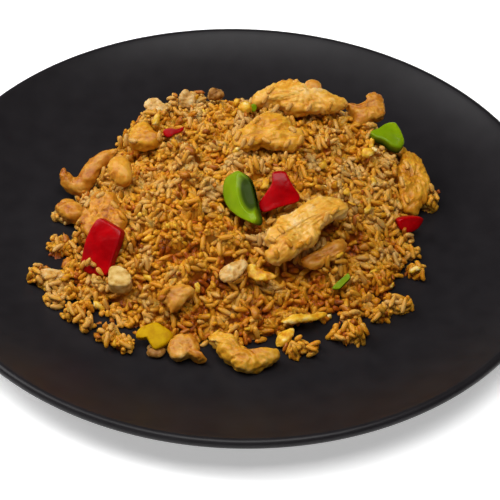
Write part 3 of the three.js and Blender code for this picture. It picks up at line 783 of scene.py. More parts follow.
# %% Egg and onion pieces
EGG = {
    "egg_strip_front": dict(
        line=laid([(19, -66, .6), (25, -63.5, .8), (31, -61.5, .8), (38, -58, .6)]),
        wide=[2.2, 3.2, 2.8, 2], thick=[1.3, 1.8, 1.5, 1.2], lean=-30),
    "egg_piece_front": dict(
        line=laid([(17, -74, .6), (20, -71, .8), (24, -67, .6)]),
        wide=[2.4, 3.6, 2.4], thick=[1.5, 2, 1.6], lean=-20),
    "egg_bit_back": dict(
        line=laid([(-3, 46, .4), (.5, 46, .6), (4, 46, .4)]),
        wide=[2.6, 3.2, 2.4], thick=[2, 2.6, 2]),
    "egg_spike": dict(
        line=[(-40.5, 36.5, 35), (-39.5, 38, 38), (-38, 40, 42)],
        wide=[2.2, 1.8, .8], thick=[1.8, 1.5, .8]),
    "egg_bit_right": dict(
        line=laid([(69, 36, .4), (72, 38.5, .6), (75, 41.5, .4)]),
        wide=[2.2, 2.8, 2.2], thick=[1.8, 2.3, 1.8], lean=-30),
    "egg_bit_mid": dict(
        line=laid([(53, 25, .4), (56, 25.5, .6), (59.5, 26, .4)]),
        wide=[1.8, 2.6, 1.8], thick=[1.6, 2, 1.6]),
}
ONION = {
    "onion_front": dict(
        line=[(-36, -81, 7.9), (-32, -80.5, 8), (-28, -79.5, 7.9)],
        wide=[1.8, 2.4, 1.8], thick=[1.5, 1.7, 1.5]),
    "flake_far_left": dict(
        line=[(-87, -36, 9.5), (-81, -39, 10.5), (-74, -40, 11)],
        wide=[2, 3, 2.4], thick=[1.6, 2.2, 2]),
}
FLAKES = {
    "egg_fold": dict(
        outline=[(248, 265), (256, 266), (265, 271), (277, 276), (270, 281), (258, 281),
                 (248, 276)],
        through=laid([(9, -50.5, .7)])[0], face=(0, -.4, .92), thick=2.4),
    "onion_mid": dict(
        outline=[(219, 273), (227, 265), (241, 260), (247, 264), (240, 276), (231, 282),
                 (222, 281)],
        through=laid([(-2, -53, .6)])[0], face=(0, -.4, .92), thick=2.4),
    "onion_back_flake": dict(
        outline=[(144, 104), (152, 98), (158, 99), (163, 103), (169, 108), (163, 112),
                 (156, 113), (147, 111)],
        through=laid([(-40, 52, 1.5)])[0], face=(-.1, -.5, .85), thick=2.6),
    "onion_back_lump": dict(
        outline=[(178, 105), (181, 92), (186, 89), (194, 94), (196, 102), (191, 108),
                 (184, 109)],
        through=laid([(-26.5, 58, 1.5)])[0], face=(0, -.85, .5), thick=3),
    "onion_back_brown": dict(
        outline=[(208, 98), (210, 90), (215, 88), (222, 91), (224, 96), (218, 100), (211, 100)],
        through=laid([(-14, 59, 1)])[0], face=(0, -.7, .7), thick=5),
}


def shred(points, faces, seed):
    """The points of a thin piece with its waves, and how far each one is raised."""
    out = skin_normals(points, faces)
    waves = rough(points, 3.2, seed)
    bits = rough(points, 1.2, seed + 30)
    return points + out * (0.6 * waves + 0.4 * bits)[:, None], waves


print("shreds and flakes:", len(EGG) + len(ONION) + len(FLAKES))

# %% [markdown]
# Set egg is opaque and even, a warm yellow with paler and orange streaks where white and yolk
# did not mix. Onion that was fried soft turns translucent and takes the colour of the sauce.

# %% Egg and onion finishes


def cooked_morsel(name, ramp, subsurface, roughness, shine=0.25):
    """A finish for egg, onion and soft pepper, with streaks of a few millimetres."""
    finish, tree, shader, place = new_finish(name)
    lift = add_node(tree, "Attribute", attribute_name="lift").outputs["Fac"]
    streak = mottle(tree, place, 2.6, 4.0)
    shade = times_plus(tree, lift, 0.25, streak)
    end_finish(tree, shader, {
        "Base Color": ramped(tree, shade, 0.25, 0.75, ramp),
        "Normal": bumped(tree, streak, 0.3, 0.3),
    }, {
        "Roughness": roughness,
        "Specular IOR Level": shine,
        "Subsurface Weight": subsurface,
        "Subsurface Radius": (1.0, 0.6, 0.25),
        "Subsurface Scale": 1.5 * MM,
    })
    return finish


set_egg = cooked_morsel(
    "set_egg", [(0.0, "#b8700c"), (0.4, "#d2981a"), (0.7, "#deb236"), (1.0, "#e6d090")], 0.15, 0.45)
soft_onion = cooked_morsel(
    "softened_onion", [(0.0, "#a87428"), (0.4, "#c89a54"), (1.0, "#dcc088")], 0.3, 0.45, 0.15)
sauced_onion = cooked_morsel(
    "sauced_onion", [(0.0, "#5c300a"), (0.4, "#8c5c22"), (1.0, "#b08040")], 0.3, 0.45, 0.15)
print("egg and onion finishes:", set_egg.name, soft_onion.name, sauced_onion.name)

# %% [markdown]
# Each shred is built at half a millimetre, waved, and laid where its CAD solid is. Two bits of
# onion took up so much sauce that they are brown.

# %% Lay the egg and the onion
SAUCED_ONION = ("onion_front", "onion_back_brown")
before = len(toppings)
for seed, (node_name, sizes) in enumerate({**EGG, **ONION, **FLAKES}.items()):
    if node_name in FLAKES:
        points, faces, depth = slab(**sizes, step=0.5)
    else:
        points, faces = morsel(**sizes, step=0.5, square=2.2)
    points, lift = shred(points, faces, seed + 200)
    kind = node_name.split("_")[0].replace("flake", "onion")
    finish = {"egg": set_egg, "onion": soft_onion}[kind]
    if node_name in SAUCED_ONION:
        finish = sauced_onion
    make_piece(node_name + "_shred", points, faces, finish, [node_name], {"lift": lift})
    add_topping(node_name, points, faces)
print("egg and onion pieces:", len(toppings) - before)

# %% [markdown]
# ## Sweet pepper
# A piece of sweet pepper is a square of the fruit's wall, three to five millimetres thick and
# bent like the fruit. It is a slab with a sharp edge: the tight skin outside and the flesh
# inside, joined by the cut. Its outline here is that of the skin. The thick block of onion and
# the softer yellow piece are made the same way.

# %% Pepper pieces
PEPPER = {
    "red_left": dict(
        outline=[(95, 220), (98, 218), (101, 219), (109, 224), (115, 228), (118, 231),
                 (118, 237), (115, 249), (111, 262), (107, 273), (100, 276), (84, 273),
                 (78, 268), (81, 252), (86, 236), (91, 226)],
        through=(-60, -32, 25), face=(-.42, -.66, .6), thick=4, bend=.004, curl=.015),
    "red_mid": dict(
        outline=[(273, 173), (277, 171), (286, 172), (289, 178), (294, 187), (300, 196),
                 (299, 201), (292, 204), (280, 207), (263, 212), (259, 205), (266, 193),
                 (272, 183)],
        through=(17, -10.5, 42), face=(.04, -.77, .635), thick=3.6, bend=.004, curl=.012,
        flare=.0016),
    "red_right": dict(
        outline=[(400, 221), (406, 218), (416, 217), (424, 219), (423, 224), (416, 231),
                 (407, 233), (401, 229)],
        through=(77.5, -2, 12), face=(.45, -.8, .4), thick=3.4, curl=.02),
    "red_back_sliver": dict(
        outline=[(163, 131), (168, 128), (176, 129), (184, 127), (182, 131), (175, 134),
                 (169, 137), (165, 136)],
        through=(-32, 33, 36), face=(0, -.7, .7), thick=2.2),
    "green_mid": dict(
        outline=[(236, 170), (230, 173), (223, 178), (220, 188), (221, 198), (227, 208),
                 (237, 216), (247, 221), (252, 222), (254, 218), (252, 208), (249, 194),
                 (246, 182), (242, 174)],
        through=(.5, -14, 39.5), face=(-.66, -.36, .66), thick=5.4, bend=.002, curl=.02,
        hollow=((240, 173), (251, 212), 8.0, 2.2)),
    "green_right": dict(
        outline=[(371, 131), (380, 126), (387, 121), (395, 120), (399, 126), (402, 132),
                 (405, 141), (401, 145), (393, 144), (384, 139), (375, 136)],
        through=(64.5, 46, 33), face=(.1, -.25, .95), thick=5, curl=.03, run=(1, .4, 0)),
    "green_sliver_front": dict(
        outline=[(332, 288), (337, 282), (343, 277), (348, 273), (350, 277), (345, 283),
                 (338, 289)],
        through=(44, -44, 17.8), face=(-.3, -.5, .8), thick=1.8),
    "green_tiny_back": dict(
        outline=[(251, 105), (255, 104), (257, 108), (254, 112), (251, 110)],
        through=(5, 48, 41.6), face=(.2, -.8, .6), thick=2),
}
ONION_CHUNK = dict(
    outline=[(110, 266), (118, 265), (126, 269), (131, 275), (129, 283), (119, 285), (109, 283),
             (108, 274)],
    through=(-49.5, -50, 21), face=(-.05, -.12, .99), thick=6, curl=.01)
YELLOW_PIECE = dict(
    outline=[(136, 337), (138, 330), (148, 325), (157, 323), (164, 327), (170, 331), (173, 336),
             (168, 343), (161, 348), (155, 350), (150, 344), (147, 339), (141, 339)],
    through=(-34.5, -75, 12), face=(-.1, -.45, .88), thick=4, curl=.015)
print("red and green pieces:", len(PEPPER))

# %% [markdown]
# Pepper skin is a smooth waxy cuticle over deep colour. Frying leaves it satin with soft
# wrinkles, so its light is broad and weak under a trace of clear coat. The flesh inside is
# rougher and darker. In the green piece its colour is near black, a painted shade for the hollow
# and the cut wall. The depth that the slab gives each point blends one into the other.

# %% Pepper finishes


def pepper_wall_finish(name, skin, deep, flesh_and_shade, shine):
    """A finish for a piece of pepper, from the colours of its skin and of its flesh, which for the
    green piece is painted shade.
    """
    finish, tree, shader, place = new_finish(name)
    depth = add_node(tree, "Attribute", attribute_name="depth").outputs["Fac"]
    tone = add_node(tree, "ValToRGB", {"Fac": mottle(tree, place, 11, 2.0)},
                    ramp=[(0.35, deep), (0.65, skin)])
    inside = add_node(tree, "MapRange", {"Value": depth, "From Min": 0.1, "From Max": 0.7})
    tint = add_node(tree, "Mix", {
        0: inside.outputs["Result"], 6: tone.outputs["Color"], 7: linear(flesh_and_shade)},
        data_type="RGBA")
    pores = bumped(tree, mottle(tree, place, 1.1, 2.0), 0.25, 0.15)
    wrinkles = bumped(tree, mottle(tree, place, 6, 2.0), 0.5, 1.2, under=pores)
    wet = add_node(tree, "MapRange", {
        "Value": depth, "From Min": 0.2, "From Max": 0.6, "To Min": 0.26, "To Max": 0.7})
    end_finish(tree, shader, {
        "Base Color": tint.outputs[2],
        "Roughness": wet.outputs["Result"],
        "Normal": wrinkles,
    }, {
        "IOR": 1.45,
        "Specular IOR Level": shine,
        "Coat Weight": 0.04,
        "Coat Roughness": 0.16,
        "Subsurface Weight": 0.08,
        "Subsurface Scale": 1.0 * MM,
    })
    return finish


PEPPER_FINISH = {
    "red": pepper_wall_finish("red_pepper_wall", "#bc0008", "#900005", "#9a1006", 0.16),
    # The green flesh colour, near black, is painted shade for the hollow and the cut wall.
    "green": pepper_wall_finish("green_pepper_wall", "#7e980a", "#688406", "#2a3a02", 0.1),
}
onion_block = cooked_morsel(
    "thick_onion_layer", [(0.0, "#a87c34"), (0.4, "#c6a058"), (1.0, "#d8ba7c")], 0.2, 0.5, 0.1)
yellow_wall = cooked_morsel(
    "yellow_pepper_wall", [(0.0, "#a87402"), (0.5, "#bc9002"), (1.0, "#c69c04")], 0.05, 0.55,
    0.05)
print("pepper finishes:", ", ".join(PEPPER_FINISH), "and", yellow_wall.name)

# %% [markdown]
# Pepper and onion are firm when they are cut, so these slabs have nearly square edges. The
# yellow piece was cooked softer, and its edge is rounder.

# %% Lay the peppers and the onion block
SHARP_EDGE = 11.0
THIN_WALL = 3

for node_name, sizes in PEPPER.items():
    colour = node_name.split("_")[0]
    step = 0.35 if sizes["thick"] < THIN_WALL else 0.45
    points, faces, depth = slab(**sizes, edge=SHARP_EDGE, lead=1.0, step=step)
    make_piece(node_name + "_wall", points, faces, PEPPER_FINISH[colour], [node_name],
               {"depth": depth})
    add_topping(node_name, points, faces)

points, faces, depth = slab(**ONION_CHUNK, edge=SHARP_EDGE, lead=1.0, step=0.5)
make_piece("onion_chunk_block", points, faces, onion_block, ["onion_chunk"],
           {"lift": rough(points, 2.0, 7) - 0.6 * depth})
add_topping("onion_chunk", points, faces)

points, faces, depth = slab(**YELLOW_PIECE, edge=5.0, step=0.45)
make_piece("yellow_front_wall", points, faces, yellow_wall, ["yellow_front"],
           {"lift": rough(points, 4.0, 8) * 0.5})
add_topping("yellow_front", points, faces)
print("toppings in all:", len(toppings))

# %% [markdown]
# ## Dropping the grains
# Real fried rice is tipped from the wok: each grain falls, meets the ones below, and tilts to
# lie on them. A physics simulation of thousands of grains would be slow, so this is its short
# form: a height map holds the pile's surface, and each grain drops on it and raises it. First
# the map has to know the plate, the bare heap, and the upper and lower skin of every topping.

# %% Height map of what is on the plate
CELL = 0.5
HALF_SIDE = 112.0
BELOW_ALL = -50.0
ABOVE_ALL = 120.0
UPRIGHT = Vector((0, 0, 1))
edge = np.arange(-HALF_SIDE, HALF_SIDE, CELL) + CELL / 2
map_x, map_y = np.meshgrid(edge, edge, indexing="ij")
map_floor = well_height(np.hypot(map_x, map_y))
map_heap = heap_height(map_x, map_y)


def rasterised(points, faces, upward):
    """Heights of a piece's upper or lower skin on the map, found by rays, and none outside."""
    tree = BVHTree.FromPolygons(points.tolist(), faces.tolist())
    low = np.floor((points[:, :2].min(0) + HALF_SIDE) / CELL).astype(int)
    high = np.ceil((points[:, :2].max(0) + HALF_SIDE) / CELL).astype(int)
    heights = np.full((high[0] - low[0], high[1] - low[1]), np.nan)
    start_z, way = (BELOW_ALL, UPRIGHT) if upward else (ABOVE_ALL, -UPRIGHT)
    for i in range(heights.shape[0]):
        for j in range(heights.shape[1]):
            start = Vector((edge[low[0] + i], edge[low[1] + j], start_z))
            hit = tree.ray_cast(start, way)[0]
            if hit is not None:
                heights[i, j] = hit.z
    return slice(low[0], high[0]), slice(low[1], high[1]), heights


map_over = np.full(map_x.shape, -1.0)
map_under = np.full(map_x.shape, ABOVE_ALL)
map_shown = np.full(map_x.shape, -1.0)
for points, faces, buried in toppings:
    rows, columns, top = rasterised(points, faces, False)
    rows, columns, bottom = rasterised(points, faces, True)
    map_over[rows, columns] = np.fmax(map_over[rows, columns], top)
    map_under[rows, columns] = np.fmin(map_under[rows, columns], bottom)
    if not buried:
        map_shown[rows, columns] = np.fmax(map_shown[rows, columns], top)
print("cells with a topping:", int((map_over > 0).sum()))

# %% [markdown]
# Over the bare heap lies a roof, the height up to which rice may stand. Fried rice sticks
# together in clumps of a centimetre or so with dark crevices between them, which a cell pattern
# gives to the roof. The photograph gives the places of the deepest gaps, as a pixel and a reach
# in mm, and of the loose clusters of a few grains in which the pile ends round its foot, as a
# pixel, a reach and a height.

# %% Gaps and loose clusters
DEEP_GAPS = [
    (171, 121, 4), (186, 114, 3), (184, 126, 3), (220, 152, 5), (237, 167, 4), (114, 191, 4),
    (132, 184, 3), (163, 194, 6), (166, 205, 4), (179, 219, 4), (190, 215, 3), (201, 217, 3),
    (302, 144, 3), (309, 159, 4), (297, 183, 3), (311, 191, 3), (260, 216, 4), (270, 215, 4),
    (265, 262, 4), (294, 265, 5), (288, 272, 4), (310, 295, 5), (278, 311, 3), (306, 298, 4),
    (360, 252, 8), (378, 254, 7), (390, 262, 5), (390, 200, 5), (381, 209, 4), (376, 160, 4),
    (389, 166, 4), (364, 172, 3), (384, 178, 4), (388, 187, 5), (363, 129, 4), (357, 132, 3),
    (155, 269, 4), (196, 274, 4), (194, 298, 5), (190, 305, 4), (173, 322, 4), (226, 317, 4),
    (412, 283, 4), (362, 286, 3),
]
LOOSE_CLUSTERS = [
    (340, 334, 6, 5), (356, 332, 7, 5), (351, 316, 6, 5), (297, 348, 6, 4), (312, 349, 5, 3),
    (380, 312, 6, 5), (393, 304, 6, 5), (404, 303, 5, 5), (402, 248, 6, 6), (412, 252, 5, 5),
    (409, 237, 5, 4), (417, 270, 5, 5), (40, 275, 6, 6), (55, 280, 7, 6), (57, 245, 6, 6),
    (72, 246, 6, 6), (55, 299, 6, 4), (76, 311, 7, 5), (87, 324, 5, 4), (108, 335, 6, 4),
    (125, 344, 6, 4), (186, 352, 6, 4), (64, 213, 6, 6), (430, 200, 6, 8),
]


def on_heap(px, py):
    """The place on the bare heap that a pixel of the photograph shows."""
    level = 25.0
    for step in range(12):
        x, y = seen_at(px, py, level)[:2]
        level = (level + float(heap_height(x, y))) / 2
    return x, y


print("deep gaps:", len(DEEP_GAPS), "loose clusters:", len(LOOSE_CLUSTERS))

# %% [markdown]
# A Voronoi pattern gives the distance to the nearest and the next nearest middle of a cell. The
# first makes a dome on each clump, and where the two are nearly equal lies a crevice. The pattern
# is warped by noise, and broken off in places, because real clumps are neither round nor whole.

# %% Clump relief
CLUMP_SIZE = 13.0
CLUMP_DOME = 3.6
CLUMP_RISE = 25.0
CREVICE_DEPTH = 4.5
CREVICE_WIDTH = 0.2
WARP_SIZE = 8.0
WARP_REACH = 4.0


def clumps(flat):
    """The relief of clumps with crevices between them, in mm, and each clump's own number."""
    warp = np.stack([rough(flat, WARP_SIZE, 75), rough(flat, WARP_SIZE, 76)], 1) * WARP_REACH
    cells = [noise.voronoi(((x + u) / CLUMP_SIZE, (y + v) / CLUMP_SIZE, 3.0))
             for (x, y, z), (u, v) in zip(flat, warp)]
    near = np.array([d[:2] for d, p in cells])
    number = np.array([math.sin(p[0][0] * 91.7 + p[0][1] * 47.3) for d, p in cells])
    broken = np.clip(1.2 + 3.0 * rough(flat, 16.0, 77), 0, 1)
    crevice = np.exp(-((near[:, 1] - near[:, 0]) / CREVICE_WIDTH) ** 2) * broken
    dome = CLUMP_DOME - CLUMP_RISE * near[:, 0] ** 2
    return dome - CREVICE_DEPTH * crevice, number


# %% [markdown]
# The roof is the bare heap with the clumps on it, coarse and fine lumps from noise, and the gaps
# and clusters of the photograph. Towards the camera the rice lies looser, so its clumps are
# bolder there. Last, the roof is lowered along the lines of sight to the pieces that show, so
# that no rice stands before them.

# %% Roof over the rice
ROOF_LIFT = 0.8
FINE_LUMP = 2.4
FINE_LUMP_SIZE = 4.5
COARSE_LUMP = 3.3
COARSE_LUMP_SIZE = 14.0
GAP_DEPTH = 9.0
CLEARED_AHEAD = 6.0
CLEARED_AT_MOST = 4.5


def rice_roof():
    """How high rice may stand in each cell, and the number of the clump there."""
    covered = map_heap > FOOD_FLOOR + 0.01
    flat = np.stack([map_x[covered], map_y[covered], 0 * map_x[covered]], 1)
    relief, number = clumps(flat)
    loose = np.clip(1.0 - 0.006 * flat[:, 1], 0.65, 1.35)
    roof = np.zeros(map_x.shape)
    roof[covered] = map_heap[covered] + ROOF_LIFT + relief * loose
    roof[covered] += FINE_LUMP * rough(flat, FINE_LUMP_SIZE, 72)
    roof[covered] += COARSE_LUMP * rough(flat, COARSE_LUMP_SIZE, 71)
    clump_number = np.zeros(map_x.shape)
    clump_number[covered] = number
    for px, py, reach in DEEP_GAPS:
        x, y = on_heap(px, py)
        far = ((map_x - x) ** 2 + (map_y - y) ** 2) / (reach / 1.15) ** 2
        roof = roof - GAP_DEPTH * np.exp(-far ** 2)
    for px, py, reach, height in LOOSE_CLUSTERS:
        x, y, level = seen_at(px, py, WELL_TOP + height / 2)
        part = ((map_x - x) ** 2 + (map_y - y) ** 2) / reach ** 2
        mound = WELL_TOP + height * np.sqrt(np.maximum(1 - part ** 2, 0))
        roof = np.where(part < 1, np.maximum(roof, mound), roof)
    return roof, clump_number


def sight_cleared(roof):
    """Lowers the roof where rice would stand before a topping that the photograph shows."""
    seen = map_shown > 0
    spot = np.stack([map_x[seen], map_y[seen], map_shown[seen]], 1)
    way = EYE - spot
    way /= np.linalg.norm(way[:, :2], axis=1)[:, None]
    for far in np.arange(0.5, CLEARED_AHEAD, 0.5):
        at = spot + far * way
        i = ((at[:, 0] + HALF_SIDE) / CELL).astype(int)
        j = ((at[:, 1] + HALF_SIDE) / CELL).astype(int)
        np.minimum.at(roof, (i, j), at[:, 2] - 0.2)
    return np.maximum(roof, map_heap - CLEARED_AT_MOST)


map_roof, map_clump = rice_roof()
map_roof = sight_cleared(map_roof)
print("highest roof:", round(float(map_roof.max()), 1))

# %% [markdown]
# ## One grain
# For the map a grain is a long ellipsoid, and its lower and upper skin over each cell come from
# a quadratic equation. It tilts to the height under its two ends, drops until most of it would
# touch, and presses a little into the soft grains below.

# %% Drop one grain
TOUCHING_SHARE = 0.86
PRESSED_IN = 0.5
STEEPEST = 1.35


def spread(x, y, half, run):
    """The cells under an ellipsoid of those half sizes, and its skin below and above its middle."""
    reach = half[0] + CELL
    i0, i1 = [int((x + s + HALF_SIDE) / CELL) for s in (-reach, reach)]
    j0, j1 = [int((y + s + HALF_SIDE) / CELL) for s in (-reach, reach)]
    here = (slice(i0, i1 + 1), slice(j0, j1 + 1))
    dx = map_x[here] - x
    dy = map_y[here] - y
    stretch = 1 / half[0] ** 2 - 1 / half[1] ** 2
    flat = dx * run[0] + dy * run[1]
    a = 1 / half[1] ** 2 + stretch * run[2] ** 2
    b = stretch * flat * run[2]
    c = (dx * dx + dy * dy) / half[1] ** 2 + stretch * flat * flat - 1
    inside = b * b - a * c
    root = np.sqrt(np.maximum(inside, 0))
    return here, inside > 0, (-b - root) / a, (-b + root) / a


def fall(x, y, half, run):
    """Drops an ellipsoid on the pile, and finds its middle and its top."""
    here, covers, low, high = spread(x, y, half, run)
    touch = np.sort((map_pile[here] - low)[covers])
    centre = float(touch[int(TOUCHING_SHARE * (len(touch) - 1))]) - PRESSED_IN
    return centre, here, covers, centre + high


def settle(x, y, turn, half, drawn_tilt):
    """The direction of a grain that lies over what is under its two ends."""
    reach = half[0] * 0.7
    ends = []
    for side in (-1, 1):
        i = int((x + side * reach * math.cos(turn) + HALF_SIDE) / CELL)
        j = int((y + side * reach * math.sin(turn) + HALF_SIDE) / CELL)
        ends.append(map_pile[i, j])
    tilt = math.atan2(ends[1] - ends[0], 2 * reach) * 0.9 + drawn_tilt
    tilt = max(-STEEPEST, min(STEEPEST, tilt))
    return np.array([math.cos(turn) * math.cos(tilt), math.sin(turn) * math.cos(tilt),
                     math.sin(tilt)])


# %% [markdown]
# Cooked long grains are about 6.4 mm long and 2.4 mm wide. Some broke in the pan, and a few
# stand on end because their neighbours hold them. A grain that would stand out over the roof is
# mostly taken away again. Of three random cells, the one with the most room is tried, so the
# heap fills evenly.

# %% Drop many grains
GRAIN_LENGTH = 6.4
GRAIN_WIDTH = 2.4
BROKEN_SHARE = 0.16
LYING_SHARE = 0.65
LYING_TILT = 0.45
ANY_TILT = 1.3
MAY_STAND_OUT = 0.3
SELDOM_STANDS_OUT = 2.6
draw = np.random.default_rng(20)


def grain_size():
    """Half the length and half the width of one grain, whole or broken."""
    length = GRAIN_LENGTH * draw.uniform(0.85, 1.12)
    if draw.random() < BROKEN_SHARE:
        length *= draw.uniform(0.5, 0.8)
    return length / 2, GRAIN_WIDTH / 2 * draw.uniform(0.9, 1.1)


def drop(tries, roof, allowed, size):
    """Drops that many pieces under a roof, and returns a row for each one that stays."""
    kept = []
    cells = np.argwhere(allowed)
    for attempt in range(tries):
        picks = cells[draw.integers(len(cells), size=3)]
        room = [roof[i, j] - map_pile[i, j] for i, j in picks]
        i, j = picks[int(np.argmax(room))]
        x = edge[i] + (draw.random() - 0.5) * CELL
        y = edge[j] + (draw.random() - 0.5) * CELL
        half = size()
        lying = draw.random() < LYING_SHARE
        tilt = draw.normal(0, LYING_TILT) if lying else draw.uniform(-ANY_TILT, ANY_TILT)
        run = settle(x, y, draw.random() * math.pi * 2, half, tilt)
        centre, here, covers, top = fall(x, y, half, run)
        over = (top - roof[here])[covers].max()
        if over > MAY_STAND_OUT + SELDOM_STANDS_OUT * draw.random() ** 2:
            continue
        map_pile[here] = np.where(covers, np.maximum(map_pile[here], top), map_pile[here])
        kept.append((x, y, centre, *run, *half))
    return kept


print("a grain's half sizes in mm:", GRAIN_LENGTH / 2, GRAIN_WIDTH / 2)

# %% [markdown]
# The inside of the heap is packed rice that nobody sees, so the pile starts some way under its
# surface. A first bed of grains goes under the roof and under the toppings. Then the toppings
# join the map, and no rice may lie on their bare middles.

# %% Bed under the toppings
PACKED_DEPTH = 9.0
LOOSE_DEPTH = 5.0
BED_DEPTH = 3.0
TRIES = 9000

map_pile = np.where(map_heap > FOOD_FLOOR, map_heap - PACKED_DEPTH, 0)
map_pile = np.maximum(map_floor, np.minimum(map_pile, map_roof - LOOSE_DEPTH))
may_lie = map_roof > map_floor + 1.0
hidden_roof = np.minimum(map_roof - BED_DEPTH, map_under - 0.3)
grains = drop(TRIES, hidden_roof, map_roof > map_floor + 1.0 + BED_DEPTH, grain_size)
map_bed = map_pile.copy()
map_pile = np.maximum(map_pile, map_over - 0.4)
bare = map_shown > 0
for axis in (0, 1):
    bare &= np.roll(bare, 2, axis) & np.roll(bare, -2, axis)
may_lie &= ~bare
open_roof = np.where(bare, BELOW_ALL, map_roof)
print("grains under and round the toppings:", len(grains))

# %% [markdown]
# Egg and starch glue grains together as they cool, at all angles and pushed a little into one
# another. So the top of the heap is made of knots of 14 to 19 grains: each knot has its own
# place and height, and its grains lie thickly round its middle. Dark gaps stay between them.

# %% Sticky knots
KNOT_APART = 5.4
KNOT_SPREAD = 2.15
KNOT_HEIGHT = 1.1
KNOT_GRAINS = (14, 20)
KNOT_DOME = 0.14
UPRIGHT_LIMIT = 0.97
KNOT_MAY_STAND_OUT = 0.6
KNOT_SELDOM_STANDS_OUT = 3.0


def blurred(heights, size):
    """The height map under a bell-shaped blur, one axis at a time."""
    reach = int(3 * size / CELL)
    bell = np.exp(-0.5 * (np.arange(-reach, reach + 1) * CELL / size) ** 2)
    bell /= bell.sum()
    for axis in (0, 1):
        heights = np.apply_along_axis(lambda row: np.convolve(row, bell, "same"), axis, heights)
    return heights


def knot_places(allowed):
    """Places all over the heap, no two of them closer than KNOT_APART."""
    cells = np.argwhere(allowed)
    places = np.empty((0, 2))
    for attempt in range(TRIES):
        i, j = cells[draw.integers(len(cells))]
        spot = np.array([edge[i], edge[j]])
        if len(places) and ((places - spot) ** 2).sum(1).min() < KNOT_APART ** 2:
            continue
        places = np.vstack([places, spot])
    return places


def stick(place, surface, roof):
    """The grains of one knot that fit under the roof."""
    kept = []
    raised = draw.normal(0, 1.0)
    for grain in range(draw.integers(*KNOT_GRAINS)):
        offset = draw.normal(0, 1, 3) * (KNOT_SPREAD, KNOT_SPREAD, KNOT_HEIGHT)
        x, y = place + offset[:2]
        i, j = int((x + HALF_SIDE) / CELL), int((y + HALF_SIDE) / CELL)
        half = grain_size()
        run = unit(draw.normal(0, 1, 3) * (1, 1, 1.1))
        if abs(run[2]) > UPRIGHT_LIMIT or not surface[i, j] > 0:
            continue
        here, covers, low, high = spread(x, y, half, run)
        z = surface[i, j] + raised + offset[2] - KNOT_DOME * offset[:2].dot(offset[:2])
        z = max(z, float((map_floor[here] - low)[covers].max()))
        over = (z + high - roof[here])[covers].max()
        if over > KNOT_MAY_STAND_OUT + KNOT_SELDOM_STANDS_OUT * draw.random() ** 2:
            continue
        map_pile[here] = np.where(covers, np.maximum(map_pile[here], z + high), map_pile[here])
        kept.append((x, y, z, *run, *half))
    return kept


map_surface = np.where(may_lie, blurred(map_roof, 1.5) - 1.4, -1.0)
for place in knot_places(may_lie):
    grains += stick(place, map_surface, open_roof)
print("grains with those in knots:", len(grains))
foot_roof = np.where(map_heap > FOOD_FLOOR, BELOW_ALL, open_roof)
grains += drop(TRIES, np.maximum(open_roof - 1.0, foot_roof), may_lie, grain_size)
print("grains with those between them:", len(grains))

# %% [markdown]
# Some single grains can be told apart in the photograph: on the plate beside the heap, on its
# outline, and on the chicken. Each is given by the pixels of its two ends, and for a standing
# one also by its tilt in degrees. A pixel is a line of sight, so it is followed from the eye
# down to the first food or plate that it meets, and there the grain drops like the rest.

# %% Single grains
SINGLE_GRAINS = [
    (240, 146, 247, 141), (247, 151, 255, 147), (262, 144, 270, 147), (283, 148, 291, 144),
    (297, 147, 303, 141), (289, 127, 296, 132), (253, 122, 260, 118), (235, 139, 241, 133),
    (261, 104, 269, 100), (285, 111, 293, 108), (305, 112, 313, 109), (325, 110, 333, 107),
    (267, 92, 274, 87), (323, 227, 329, 220), (331, 216, 338, 211), (306, 247, 312, 241),
    (273, 253, 280, 258), (268, 237, 275, 241), (296, 253, 303, 248), (118, 212, 125, 218),
    (111, 203, 118, 207), (85, 206, 90, 200), (97, 196, 104, 193), (404, 161, 409, 168),
    (400, 178, 404, 186), (404, 196, 409, 203), (130, 148, 137, 151), (159, 140, 160, 133),
    (79, 268, 87, 264), (88, 264, 96, 269), (84, 273, 93, 271), (97, 271, 103, 275),
    (334, 335, 345, 340), (353, 338, 367, 342), (358, 327, 362, 335), (342, 330, 347, 322),
    (348, 315, 361, 311), (290, 342, 302, 346), (290, 350, 301, 347), (291, 351, 298, 358),
    (306, 346, 317, 352), (372, 319, 386, 313), (376, 308, 387, 311), (389, 311, 395, 299),
    (402, 310, 406, 299), (395, 245, 406, 254), (410, 249, 415, 258), (404, 240, 414, 235),
    (32, 270, 41, 279), (44, 277, 58, 274), (48, 284, 62, 281), (36, 282, 44, 286),
    (56, 238, 60, 251), (52, 252, 64, 247), (69, 243, 77, 250), (48, 296, 62, 302),
    (68, 303, 74, 314), (76, 307, 85, 316), (72, 321, 83, 316), (83, 328, 91, 321),
    (105, 346, 109, 333), (110, 332, 113, 320), (118, 341, 132, 346), (201, 346, 208, 341),
    (266, 224, 276, 219), (278, 227, 284, 233), (286, 241, 292, 245), (119, 153, 122, 139, 65),
    (128, 151, 125, 141, 60), (247, 159, 255, 177), (252, 158, 260, 172),
    (297, 168, 306, 181), (300, 165, 307, 176), (428, 189, 434, 194), (430, 203, 436, 209),
    (426, 212, 433, 207), (75, 222, 83, 227), (416, 262, 421, 268), (420, 275, 424, 284),
]
SIGHT_TOP = 50.0
SIGHT_STEP = 0.4
SHORTEST = 4.6
LONGEST = 7.4


